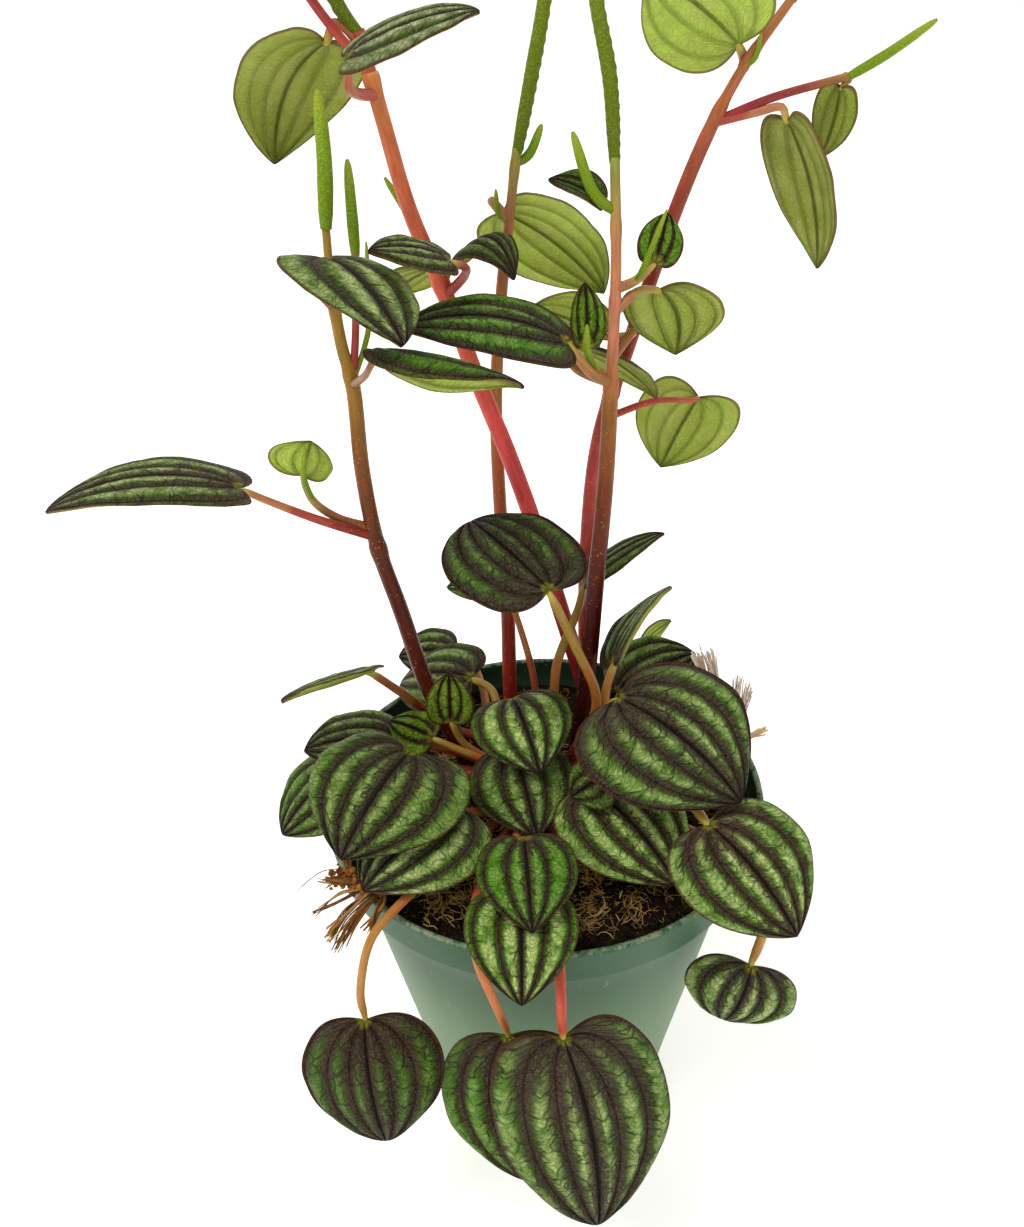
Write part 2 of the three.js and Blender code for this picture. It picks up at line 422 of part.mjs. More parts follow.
function leafBlade(row) {
  const width = row[3];
  const { smooth, normal, up } = leafSurface(row);
  const { half, rows } = width >= WIDE_BLADE ? WIDE_GRID : NARROW_GRID;
  const columns = 2 * half;
  const points = [];
  const place = (s, t, k) => {
    const n = t === 0 || t === 1 ? normal(0, t) : normal(s, t);
    if (n.dot(up) < 0) {
      n.multiplyScalar(-1);
    }
    const bulge = k % 2 === 0 ? 0 : PANEL_BULGE * width * Math.sqrt(Math.sin(Math.PI * t));
    const middle = smooth(s, t).addScaledVector(n, bulge);
    points.push(middle.clone().addScaledVector(n, BLADE / 2));
    points.push(middle.clone().addScaledVector(n, -BLADE / 2));
    return points.length - 2;
  };
  const shares = Array.from({ length: columns + 1 }, (_, i) => {
    const k = i - half;
    return [Math.sign(k) * (Math.abs(k) / half) ** (1 / 0.9), Math.abs(k)];
  });
  const notch = place(0, 0, 0);
  const grid = rows.map((t) => shares.map(([s, k]) => place(s, t, k)));
  const tip = place(0, 1, 0);
  const triangles = [];
  const bothFaces = (a, b, c) => {
    triangles.push([a, b, c]);
    triangles.push([a + 1, c + 1, b + 1]);
  };
  const rim = (a, b) => {
    triangles.push([a, a + 1, b + 1]);
    triangles.push([a, b + 1, b]);
  };
  for (let i = 0; i < columns; i += 1) {
    bothFaces(notch, grid[0][i + 1], grid[0][i]);
    for (let r = 0; r + 1 < rows.length; r += 1) {
      bothFaces(grid[r][i], grid[r][i + 1], grid[r + 1][i + 1]);
      bothFaces(grid[r][i], grid[r + 1][i + 1], grid[r + 1][i]);
    }
    bothFaces(grid[rows.length - 1][i], grid[rows.length - 1][i + 1], tip);
  }
  const left = [notch, ...grid.map((g) => g[0]), tip];
  const right = [notch, ...grid.map((g) => g[columns]), tip];
  for (let r = 0; r + 1 < left.length; r += 1) {
    rim(left[r + 1], left[r]);
    rim(right[r], right[r + 1]);
  }
  return solidFrom(points, triangles);
}

// Pot
const bandFoot = POT_HEIGHT - BAND_HEIGHT;
const wallInside = (z) => (
  FOOT_RADIUS - WALL + ((WALL_TOP_RADIUS - FOOT_RADIUS) * (z - FLOOR)) / (bandFoot - FLOOR)
);
const potProfile = [
  [0, 0],
  [FOOT_RADIUS - 1, 0],
  [FOOT_RADIUS, 1],
  [WALL_TOP_RADIUS, bandFoot - 1.2],
  [BAND_FOOT_RADIUS, bandFoot],
  [RIM_RADIUS, POT_HEIGHT - 0.7],
  [RIM_RADIUS - 0.4, POT_HEIGHT],
  [RIM_RADIUS - 1.4, POT_HEIGHT],
  [RIM_RADIUS - 1.8, POT_HEIGHT - 0.8],
  [BAND_FOOT_RADIUS - 1.6, bandFoot + 1],
  [wallInside(bandFoot - 0.5), bandFoot - 0.5],
  [wallInside(FLOOR), FLOOR],
  [0, FLOOR],
];
let potBody = turned(potProfile, 36);
for (let i = 0; i < DRAIN_HOLES; i += 1) {
  const a = Math.PI / 4 + (2 * Math.PI * i) / DRAIN_HOLES;
  const x = DRAIN_RING_RADIUS * Math.cos(a);
  const y = DRAIN_RING_RADIUS * Math.sin(a);
  potBody = potBody.subtract(upright(DRAIN_HOLE_RADIUS, -1, FLOOR + 1, 8, x, y));
}

// Soil
const draw = seeded(SEED);
const ripples = Array.from({ length: 5 }, (_, i) => {
  const pitch = 0.1 + 0.05 * i;
  const heading = 2 * Math.PI * draw();
  return [pitch * Math.cos(heading), pitch * Math.sin(heading), 2 * Math.PI * draw()];
});
const soilTop = (x, y) => {
  const bump = ripples.reduce((sum, [kx, ky, phase]) => sum + Math.sin(kx * x + ky * y + phase), 0);
  return SOIL_MIDDLE + SOIL_SLOPE * y + (SOIL_BUMP * bump) / Math.sqrt(ripples.length) / 1.6;
};
function soilRing(radius, z) {
  return Array.from({ length: 20 }, (_, j) => {
    const a = (2 * Math.PI * j) / 20;
    const x = radius * Math.cos(a);
    const y = radius * Math.sin(a);
    return new THREE.Vector3(x, y, z === undefined ? soilTop(x, y) : z);
  });
}
const soilEdge = BAND_FOOT_RADIUS - 1.6 - 2 * FIT_GAP;
const soilFloor = FLOOR + FIT_GAP;
let soilBody = ringBody(
  new THREE.Vector3(0, 0, soilFloor),
  [
    soilRing(wallInside(FLOOR) - 2 * FIT_GAP, soilFloor),
    soilRing(wallInside(bandFoot - 0.5) - 2 * FIT_GAP, bandFoot - 0.2),
    soilRing(soilEdge, bandFoot + 1.6),
    ...[1, 0.86, 0.72, 0.56, 0.38, 0.2].map((share) => soilRing(soilEdge * share)),
  ],
  new THREE.Vector3(0, 0, soilTop(0, 0)),
);
const plantedAt = [
  [CROWN_RADIUS, CROWN_CENTRE, PLANTING_DEPTH],
  [TUFT_RADIUS, TUFT_FOOT, TUFT_DEPTH],
  ...STEMS.map((stem) => [stem.radii[0][1] + 0.3, stem.way[0], PLANTING_DEPTH]),
];
for (const [radius, [x, y], depth] of plantedAt) {
  const hole = (radius + FIT_GAP) / Math.cos(Math.PI / 12);
  soilBody = soilBody.subtract(upright(hole, depth, POT_HEIGHT + 9, 12, x, y));
}

// Crown, petioles and stems
const joints = new Map([...BASAL_LEAVES, ...STEM_LEAVES].map((row) => [row[0], row[1]]));
function petiole([leafName, radius, way], rings) {
  const joint = vec(joints.get(leafName));
  const back = vec(way[way.length - 1]).sub(joint).normalize();
  const end = joint.clone().addScaledVector(back, PETIOLE_STANDOFF);
  const swell = (u) => (u > 0.99 ? PETIOLE_END_RADIUS : radius * (1.15 - 0.25 * u));
  return along([...way, end.toArray()], evenly(rings), swell, 5);
}
const [crownX, crownY] = CROWN_CENTRE;
const crownBody = turned([
  [0, PLANTING_DEPTH + FIT_GAP],
  [CROWN_RADIUS, PLANTING_DEPTH + FIT_GAP],
  [CROWN_RADIUS, 80],
  [CROWN_RADIUS - 0.7, 83.5],
  [CROWN_RADIUS - 3, CROWN_TOP - 0.8],
  [0, CROWN_TOP],
], 14, crownX, crownY);
const PETIOLE_RINGS = [0, 0, 4, 5, 6, 7];
const crown = fused([crownBody, ...BASAL_PETIOLES.map((row) => petiole(row, PETIOLE_RINGS[row[2].length]))]);

function spike([radius, rings, way], rough) {
  const shape = (u) => radius * between(SPIKE_SHAPE, u);
  const shares = evenly(rings);
  shares.splice(shares.length - 1, 0, 1 - 0.35 / rings);
  return along(way, shares, shape, rough ? 6 : 5, rough ? 0.07 : 0);
}

// The value at a share u, straight between the rows of share and value.
function between(rows, u) {
  const next = rows.findIndex(([share]) => share >= u);
  if (next < 1) {
    return next === 0 ? rows[0][1] : rows[rows.length - 1][1];
  }
  const [[from, low], [to, high]] = [rows[next - 1], rows[next]];
  return low + ((high - low) * (u - from)) / (to - from);
}

function floweringStem(stem) {
  const foot = stem.way[0];
  const length = new THREE.CatmullRomCurve3(stem.way.map(vec), false, 'centripetal').getLength();
  const nodeHalf = NODE_LENGTH / length;
  const low = stem.radii[0][1];
  const high = stem.radii[stem.radii.length - 1][1];
  const radius = (u) => {
    const near = stem.nodes.map((node) => Math.exp(-(((u - node) / (0.55 * nodeHalf)) ** 2)));
    return between(stem.radii, u) * (1 + NODE_SWELL * Math.max(0, ...near));
  };
  const clear = (u) => stem.nodes.every((node) => Math.abs(u - node) > 1.6 * nodeHalf);
  const collars = stem.nodes.flatMap((node) => [node - nodeHalf, node, node + nodeHalf]);
  const shares = [...evenly(10).filter(clear), ...collars.filter((u) => u < 0.995)];
  if (!shares.includes(1)) {
    shares.push(1);
  }
  shares.sort((a, b) => a - b);
  const bodies = [
    along(stem.way, shares, radius, 6),
    upright(low + 0.3, PLANTING_DEPTH + FIT_GAP, foot[2] + 1.5, 8, foot[0], foot[1]),
    ...stem.limbs.map((way, i) => {
      const thick = high * (stem.limbShares ? stem.limbShares[i] : 1);
      return along(way, evenly(4), (u) => thick * (1 - 0.1 * u), 5);
    }),
    ...stem.petioles.map((row) => petiole(row, row[2].length > 2 ? 4 : 3)),
    ...stem.spikes.map((row, i) => spike(row, stem.older.includes(i))),
  ];
  return fused(bodies);
}

// Husk and roots
const lumps = seeded(SEED + 2);
const lumpOf = evenly(7).map(() => 0.8 + 0.5 * lumps());
const husk = fused([
  along(HUSK_CORE, evenly(7), (u) => HUSK_RADIUS * lumpOf[Math.round(u * 7)], 6, 0.12),
  ...HUSK_FIBRES.map(([radius, way]) => along(way, evenly(3), (u) => radius * (1 - 0.6 * u), 4)),
]);
const [tuftX, tuftY] = TUFT_FOOT;
const tuft = fused([
  turned([
    [0, TUFT_DEPTH + FIT_GAP],
    [TUFT_RADIUS, TUFT_DEPTH + FIT_GAP],
    [TUFT_RADIUS, TUFT_TOP - 1.5],
    [0, TUFT_TOP],
  ], 8, tuftX, tuftY),
  ...TUFT_ROOTS.map((way) => along(way, evenly(4), (u) => 0.55 - 0.15 * u, 4)),
]);

const group = new THREE.Group();
function addNode(name, body, colour, roughness) {
  const mesh = body.getMesh();
  const geometry = new THREE.BufferGeometry();
  geometry.setAttribute('position', new THREE.BufferAttribute(mesh.vertProperties.slice(), 3));
  geometry.setIndex(new THREE.BufferAttribute(mesh.triVerts.slice(), 1));
  geometry.computeVertexNormals();
  const material = new THREE.MeshStandardMaterial({ color: colour, roughness, flatShading: true });
  material.name = `${name}_surface`;
  const node = new THREE.Mesh(geometry, material);
  node.name = name;
  group.add(node);
}

addNode('pot', potBody, 0x5f8a72, 0.5);
addNode('potting_soil', soilBody, 0x2a1d14, 0.95);
addNode('coir_husk', husk, 0x8a5a35, 0.9);
addNode('root_fibre_tuft', tuft, 0xb79a78, 0.9);
addNode('crown_and_petioles', crown, 0xb5713f, 0.5);
STEMS.forEach((stem) => addNode(stem.name, floweringStem(stem), 0x8f3a30, 0.45));
[...BASAL_LEAVES, ...STEM_LEAVES].forEach((row) => addNode(row[0], leafBlade(row), 0x4f6b45, 0.45));

export default group;
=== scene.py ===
import math

import bpy
import numpy as np
from mathutils import Matrix, Vector, noise


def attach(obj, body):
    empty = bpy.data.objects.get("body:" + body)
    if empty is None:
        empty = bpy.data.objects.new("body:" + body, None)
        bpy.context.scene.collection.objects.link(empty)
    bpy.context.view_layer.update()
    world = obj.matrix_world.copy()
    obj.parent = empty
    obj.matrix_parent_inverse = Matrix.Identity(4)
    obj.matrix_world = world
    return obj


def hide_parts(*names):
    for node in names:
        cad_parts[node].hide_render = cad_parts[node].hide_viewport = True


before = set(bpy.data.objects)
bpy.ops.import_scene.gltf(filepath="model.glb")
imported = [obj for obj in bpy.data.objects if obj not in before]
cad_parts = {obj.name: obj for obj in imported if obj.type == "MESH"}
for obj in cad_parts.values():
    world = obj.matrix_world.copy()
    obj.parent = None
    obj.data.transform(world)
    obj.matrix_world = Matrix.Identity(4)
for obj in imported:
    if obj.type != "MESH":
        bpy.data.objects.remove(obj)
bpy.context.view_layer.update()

MM = 0.001
SEED = 11

# ---- the plant's measures, as in the solids
POT_HEIGHT = 86
RIM_RADIUS = 51
BAND_HEIGHT = 9.5
BAND_FOOT_RADIUS = 49.8
WALL_TOP_RADIUS = 46
FOOT_RADIUS = 31.5
WALL = 1.4
FLOOR = 2
DRAIN_HOLE_RADIUS = 3
DRAIN_RING_RADIUS = 21
DRAIN_HOLES = 4
SOIL_MIDDLE = 80.4
SOIL_SLOPE = -0.03
PLANTING_DEPTH = 66
STEM_FOOT = PLANTING_DEPTH + 0.3
BLADE = 0.8
WIDEST_LOW = 0.08
NOTCH_DEPTH = 0.26
TIP_POINT = 0.20
CUP = 0.2
ARCH = 0.08
RIM_ROUNDING = 0.16
USUAL_WARMTH = 0.2
PETIOLE = 1.35
NODE_SWELL = 0.18
NODE_LENGTH = 3.4
# The least width of a leaf, with its usual number of veins a side and of rows along it.
LEAF_SIZES = [(24, 2.7, 48), (13, 2.3, 32), (0, 1.9, 22)]
# Shares of a leaf's width. Panels stand a little higher here than on the plain solids.
PANEL_BULGE = 0.038
MARGIN_WAVE = 0.011
PANEL_LUMPS = 0.007
SPIKE_SHAPE = [(0, 0.72), (0.12, 0.92), (0.33, 1), (0.75, 0.86), (0.93, 0.62), (1, 0.3)]

# Every leaf: joint, tip, width, the way its upper side looks, its bends where they aren't the usual
# ones, and its look: how wide the dark bands are, how vivid the green is, how silvery the panels
# are (the same number also lightens the dark bands as a painted sheen), and how warm the bands are
# where that isn't the usual share.
LEAVES = {
    "leaf_low_01": [(-29, -11, 106), (-42.5, -34.5, 98), 34, (-0.3, -0.8, 1),
        dict(cup=0.22, arch=0.12, lobe=0.34), (0.6, 0.6, 0.5, 0.1)],
    "leaf_low_02": [(-19, -19, 97), (-38.5, -37, 91.5), 27, (-0.1, -0.4, 1),
        dict(arch=0.12), (0.35, 0.6, 1, 0.05)],
    "leaf_low_03": [(-45.5, 0, 93.5), (-60, -10, 82), 25, (-0.9, -0.5, 1), {}, (0.4, 0.6, 0.3)],
    "leaf_low_04": [(-33.5, 6, 95.6), (-55, 2, 96.6), 24, (-0.2, -0.1, 1), {}, (0.6, 0.35, 0.5)],
    "leaf_low_05": [(-25.5, 5, 97), (-35.5, 9, 99), 12, (0, -0.3, 1), {}, (0.35, 1.5, 0.3, 0.7)],
    "leaf_low_06": [(-21, 5.5, 101.5), (-20.5, 4.5, 116.5), 11, (0, -1, 0.4),
        dict(cup=-0.15, arch=0), (0.35, 1.7, 0.3, 0.6)],
    "leaf_low_07": [(-38, 2, 119), (-55.5, -9.5, 120), 24, (-0.25, 0.6, 0.8),
        dict(cup=0.1, arch=0.04), (0.5, 0.4, 0.5)],
    "leaf_low_08": [(-16.5, 26.5, 98), (-35, 35.5, 90), 23, (-0.1, -0.2, 1),
        dict(cup=0.15, arch=0.12), (0.6, 0.4, 0.5)],
    "leaf_low_09": [(-6.5, 4.5, 108), (-1, -12, 100), 22, (0, -0.5, 1),
        dict(arch=0.2), (0.35, 0.75, 0.9, 0.1)],
    "leaf_low_10": [(-6.5, -2, 98), (-2, -21.5, 90), 23, (0, -0.4, 1), {}, (0.5, 0.5, 0.45)],
    "leaf_low_11": [(-5, -31, 99), (-4, -54, 96.5), 20, (0, -0.5, 1), {}, (0.45, 0.95, 0.3)],
    "leaf_low_12": [(-6, -41, 93.5), (-6.5, -62.5, 86), 22, (0, -0.6, 1),
        dict(cup=0.14, arch=0.18), (0.3, 0.8, 1, 0.3)],
    "leaf_low_13": [(16, -9.5, 118), (39, -32, 108), 36, (0.1, -0.6, 1),
        dict(skew=-0.15, veins=3.1), (0.7, 0.65, 0.6, 0.1)],
    "leaf_low_14": [(10, -14, 97), (26.5, -35, 88), 27, (0.15, -0.5, 1),
        dict(skew=-0.1), (0.45, 0.75, 0.9, 0.3)],
    "leaf_low_15": [(32.5, -34, 104), (47.5, -53, 92), 28, (0.1, -0.6, 1),
        dict(cup=0.15, skew=-0.1), (0.5, 0.7, 0.9, 0.3)],
    "leaf_low_16": [(12.5, -16.5, 102), (5.5, -20, 100), 12, (-0.1, -0.5, 1), {}, (0.7, 0.4, 0.2)],
    "leaf_low_17": [(43.5, -38, 66), (38, -40.5, 52), 25, (0.3, -0.6, 1),
        dict(arch=0.2, lobe=0.15), (0.45, 0.5, 0.9, 0.1)],
    "leaf_low_18": [(-39.5, -49, 66), (-36, -61, 42), 30, (-0.2, -1, 0.9),
        dict(cup=0.25, arch=0.15, lobe=0.15, veins=3.1), (0.95, 0.5, 0.15, 0.2)],
    "leaf_low_19": [(-9.5, -52.5, 64), (-5.5, -69, 38), 33, (-0.4, -1, 0.8),
        dict(lobe=0.15), (0.65, 0.8, 0.3)],
    "leaf_low_20": [(1.5, -59.5, 72), (7.5, -77.5, 36), 35, (0.2, -1, 0.8),
        dict(lobe=0.25, skew=-0.15, veins=2.8), (0.9, 0.65, 0.7, 0.15)],
    "leaf_low_21": [(1.6, -5, 143.1), (-14.4, 17, 147.3), 28.8, (-0.11, 0, 1),
        dict(cup=0.06, skew=-0.15, lobe=0.25, point=0.05, veins=3.1), (1, 0.5, 0.25, 0.1)],
    "leaf_low_22": [(11, 23.5, 126.5), (29.5, 26.5, 137.5), 12, (-0.35, 0.1, 1),
        dict(cup=0.1, lobe=0.12), (0.6, 0.4, 0.4)],
    "leaf_low_23": [(16.4, 4.2, 117.6), (30.6, 18.3, 128.2), 20, (-1, 0.1, 0.5),
        dict(cup=-0.1), (0.5, 0.5, 0.45)],
    "leaf_low_24": [(19.5, 24, 94), (39, 28, 102), 25, (0, -0.2, 1), dict(cup=0.15), (0.5, 0.6, 0.4)],
    "leaf_low_25": [(27.2, 39, 97.5), (35, 44, 101.5), 7, (0, 0.9, 0.3),
        dict(cup=0.1, lobe=0.3), (0.1, 1, 0.3)],
    "leaf_low_26": [(-21.5, 45, 93), (-36, 44.5, 92), 18, (0, -0.2, 1), dict(cup=0.15), (0.6, 0.4, 0.5)],
    "leaf_low_27": [(-7.4, 20, 129.1), (-20.8, 22, 127.5), 9, (0, -0.4, 1),
        dict(cup=0.1, lobe=0.12), (0.1, 1, 0.4)],
    "stem_1_leaf_1": [(-61.5, 10, 161), (-100, 4, 160), 23, (0, 0.05, 1),
        dict(cup=0.1, arch=0.12), (0.7, 0.35, 0.7)],
    "stem_1_leaf_2": [(-49.5, 16, 160.5), (-47, 19, 167), 15, (0, 0.8, 0.6),
        dict(cup=-0.2), (0.4, 1.2, 0.2, 0.3)],
    "stem_1_leaf_3": [(-29.7, 6, 191.2), (-2.4, -1, 186), 21, (0, 0.5, 0.87),
        dict(cup=0.5, arch=0.04), (0.9, 0.6, 0.1, 0.1)],
    "stem_1_leaf_4": [(-38.9, 12.5, 207), (-24.5, -2.8, 195.4), 28, (0.25, 0.14, 1),
        dict(cup=0.1, arch=0.13, skew=0.24, lobe=0.35, veins=1.7), (0.75, 0.45, 0.8, 0.1)],
    "stem_2_leaf_1": [(-16, 19, 204), (-31, 15, 207.5), 17, (0, -0.1, 1), dict(cup=0.1), (0.6, 0.4, 0.6)],
    "stem_2_leaf_2": [(-14.5, 34, 199), (-3.5, 28, 197), 17, (0.2, -0.1, 1),
        dict(arch=0.5), (0.8, 0.4, 0.3)],
    "stem_2_leaf_3": [(-21.5, 42, 195), (-30, 45, 188.5), 14, (-0.5, 0.8, 0.6),
        dict(cup=0.1), (0.3, 0.6, 0.3)],
    "stem_2_leaf_4": [(-38, 39, 240.5), (-51, 41, 218), 27, (-0.4, 0.7, 0.6),
        dict(arch=0.2), (0.6, 0.4, 0.2)],
    "stem_2_leaf_5": [(-32.1, 23.5, 239.9), (-8.3, 23.5, 246.7), 21, (0.05, -0.15, 1),
        dict(cup=0.1, arch=0.06, lobe=0.3, veins=1.8), (0.1, 0.1, 0.9, 0.1)],
    "stem_3_leaf_1": [(-5, 50, 204.5), (17, 52, 185.5), 27, (0.3, 1, 0.7), {}, (0.3, 1.0, 0.4, 0.2)],
    "stem_4_leaf_1": [(6.3, 14, 188.8), (-26, 14, 192.5), 22, (0, -0.2, 1),
        dict(cup=0.12, arch=0.12, veins=2.1), (1, 0.8, 0.25, 0.05)],
    "stem_4_leaf_2": [(10.8, 22, 185.1), (10.8, 28, 196), 7.6, (0.2, -1, 0.3),
        dict(cup=-0.3, veins=1.6), (0.8, 1.4, 0.1, 0.6)],
    "stem_4_leaf_3": [(15, 37, 181), (0, 38, 187.5), 18, (0.1, 0.9, 0.5),
        dict(cup=0.1), (0.35, 1.35, 0.25, 0.7)],
    "stem_4_leaf_4": [(9.5, 30.5, 181.5), (27.5, 34.5, 167.5), 16, (0.5, 0.7, 1), {}, (0.7, 0.4, 0.3)],
    "stem_4_leaf_5": [(14.5, 34, 210), (4, 36, 214.5), 9, (-0.2, -0.3, 1), dict(cup=-0.4), (0.7, 0.3, 0.1)],
    "stem_4_leaf_6": [(26.5, 30, 193.5), (31, 33, 178), 20, (0.2, 1, 0.5),
        dict(skew=0.5), (0.7, 0.55, 0.25, 0.2)],
    "stem_4_leaf_7": [(24.5, 24, 201), (27, 28, 209.5), 9, (0.1, -1, 0.4),
        dict(cup=-0.1), (0.5, 1.3, 0.1, 0.5)],
    "stem_5_leaf_1": [(43, 50, 236), (24, 44, 249.5), 27, (0, 0.9, 0.7),
        dict(cup=0.1, lobe=0.2), (0.3, 1, 0.3)],
    "stem_5_leaf_2": [(53.5, 47, 222), (62, 43, 192.5), 19, (0.7, 0.5, 0.5),
        dict(cup=0.3), (0.5, 0.12, 0.3)],
    "stem_5_leaf_3": [(64.5, 50, 227.5), (62, 50, 214), 10, (0.7, 0.6, 0.5), {}, (0.4, 0.35, 0.2)],
    "stem_5_leaf_4": [(39.5, 50, 160.5), (31.5, 52, 141.5), 24, (0.2, 1, 0.3),
        dict(cup=0.05, lobe=0.45), (0.3, 0.7, 0.2)],
}

# Colours along a stem or petiole, from its foot to its end.
TAN = "#94502a #b06e3a #b4803c"
CORAL = "#a84a28 #c0663a #c87644"
SCARLET = "#a8402a #c05438 #c0503c"
ROSE = "#7c2c1c #96442a #a8663a"
OCHRE = "#8a4a20 #a8682e #a08038"
BRONZE = "#9a6a3a #a58a48"
SALMON = "#b0574a #b36a4c"
HAZEL = "#8a5a30 #96623a"
TERRACOTTA = "#ab5f42 #a98a52"

# A petiole's colour steps along it are this long, and the last of them are its pale collar.
COLLAR = 1.6
CROWN_CENTRE = (-0.5, 2.5)
CROWN_RADIUS = 6.5
CROWN_TOP = 86.8
# The petioles on the crown: leaf, radius at the foot, way and colours.
BASAL_PETIOLES = [
    ("leaf_low_01", PETIOLE, [(-4, 4, 83), (-14, -1, 90), (-25, -9, 98)], ROSE),
    ("leaf_low_02", PETIOLE, [(-4, 0, 83.5), (-13, -11, 88.5), (-17, -15.5, 92.5)], ROSE),
    ("leaf_low_03", PETIOLE, [(-4, 5, 83.5), (-22, 6, 86.5), (-37, 5, 89.5)], ROSE),
    ("leaf_low_04", PETIOLE, [(-4, 5, 83), (-20, 8.5, 90)], ROSE),
    ("leaf_low_05", 1, [(-4, 5, 84), (-15, 3.5, 92)], OCHRE),
    ("leaf_low_06", 1, [(-4, 5, 84), (-18, 6, 94)], OCHRE),
    ("leaf_low_07", 1.2, [(-4, 5, 84), (-12.5, 13.3, 88.5), (-21.5, 15.9, 90.8),
      (-27.6, 15.2, 97.5), (-33.4, 7.6, 110)], ROSE),
    ("leaf_low_08", 1.2, [(-3, 6, 84), (-9, 13, 90), (-11.5, 22.5, 97)], OCHRE),
    ("leaf_low_09", 1.2, [(-2, 4, 84), (-7, 7, 98)], TAN),
    ("leaf_low_10", 1.2, [(-2, 2, 84), (-5.5, 1, 92)], TAN),
    ("leaf_low_11", 1.2, [(-1, -1, 84), (-5.5, -14, 87), (-6.5, -23, 90.5), (-5.5, -28.5, 95.5)], TAN),
    ("leaf_low_12", 1.2, [(-2, -1, 84), (-6, -24, 88)], TAN),
    ("leaf_low_13", PETIOLE, [(3, 3, 84), (11, -1, 104)], ROSE),
    ("leaf_low_14", PETIOLE, [(2, 0, 84), (7, -8, 92)], ROSE),
    ("leaf_low_15", PETIOLE, [(3, 2, 83.5), (18, -1.5, 93.5), (26.5, -10.5, 100), (29.8, -25, 103)], TAN),
    ("leaf_low_16", 1, [(3, 1, 84), (10.5, -5, 98), (15, -13.2, 102)], OCHRE),
    ("leaf_low_17", PETIOLE, [(3, 1, 83.5), (22, -13, 88), (38, -28, 91), (44, -34, 87), (45.5, -37, 77)],
     TAN),
    ("leaf_low_18", 1.1, [(-3, 0, 83), (-18, -22, 88), (-30.5, -38.5, 89.6),
      (-36.5, -45.5, 87), (-39.5, -49.5, 76)], TAN),
    ("leaf_low_19", 1.15, [(-3, -1, 83.5), (-13, -25, 85.5), (-16, -44, 88.4),
      (-15, -52.5, 87.5), (-11.5, -55, 76)], CORAL),
    ("leaf_low_20", 1.3, [(1, -1, 83.5), (2.5, -25, 86), (1.4, -45, 88.3), (1.2, -54, 88), (1.2, -60, 80.5)],
     SCARLET),
    ("leaf_low_21", 1.2, [(3, 3, 84), (11.5, 2, 103), (12.1, 0, 112), (6.6, -3, 129.3)], OCHRE),
    ("leaf_low_22", 1.2, [(1, 5, 84), (3, 9.5, 98), (4, 12, 112), (9.4, 19.1, 122.8)], OCHRE),
    ("leaf_low_23", 1.2, [(3, 5, 84), (13, 4, 98), (14.8, 2.8, 112.5)], TAN),
    ("leaf_low_24", 1.2, [(3, 4, 83.5), (17, 8, 86), (21, 17, 87.5), (19.8, 22.4, 89)], TAN),
    ("leaf_low_26", 1.2, [(-3, 6, 83.5), (-12, 20, 86.5), (-14, 34, 88.5), (-17.5, 44, 91)], TAN),
    ("leaf_low_27", 0.9, [(-1, 6, 84), (-1.2, 12, 106.3), (-5, 17.6, 122)], ROSE),
]

# The flowering stems: way, radii and nodes by share of the length, limbs, petioles, spikes with their
# radius and way, and which spikes are older and beaded.
STEMS = {}
STEMS["flowering_stem_1"] = dict(
    way=[(-17, 10, 81), (-20, 12, 90), (-26, 13, 105), (-31, 14, 127), (-35, 16, 143),
         (-37, 19, 160), (-37.5, 22, 178), (-39, 23, 186), (-40, 24.5, 198), (-40, 26, 210)],
    radii=[(0, 2), (0.74, 1.6), (0.79, 1.3), (0.87, 1.2), (0.91, 0.88), (1, 0.82)], nodes=(0.48, 0.77, 0.88),
    hues="#541810 #561409 #541a0e #521a0c #5c2a0c #7a461a #96702a #a07c2c #9c7a30",
    limb_hues="#9c3038 #a03c3a #a8504a #8a6a34",
    limbs=[[(-37.5, 22, 178), (-36, 24, 189), (-35, 28, 204)]],
    petioles=[
        ("stem_1_leaf_1", 1, [(-35.5, 16.3, 145), (-47, 14, 151), (-57, 11.5, 157.5)],
         "#8a3226 #a5493a #b0734a"),
        ("stem_1_leaf_2", 1, [(-35.8, 16.6, 147), (-43, 17, 149.5), (-47.6, 14.5, 155.5)],
         "#7d4a2c #8f5a34 #a3824a"),
        ("stem_1_leaf_3", 0.85, [(-37.5, 22, 178), (-33, 9, 185.5), (-31, 4.5, 189.7)], HAZEL),
        ("stem_1_leaf_4", 0.9, [(-40.2, 24.2, 194), (-42, 19, 199.5), (-41, 15, 204.5)], HAZEL),
    ],
    spikes=[
        (1.6, [(-40, 26, 209), (-39, 27, 222), (-39, 28, 234)]),
        (1.2, [(-35, 28, 203), (-35, 29, 212), (-35, 30, 221)]),
        (0.6, [(-37.5, 22, 178), (-33.2, 25, 190), (-32.5, 27, 206)]),
        (0.6, [(-47.6, 14.5, 155.5), (-48.2, 12, 161.5), (-47.2, 11.5, 169.5)]),
    ],
    older=[])
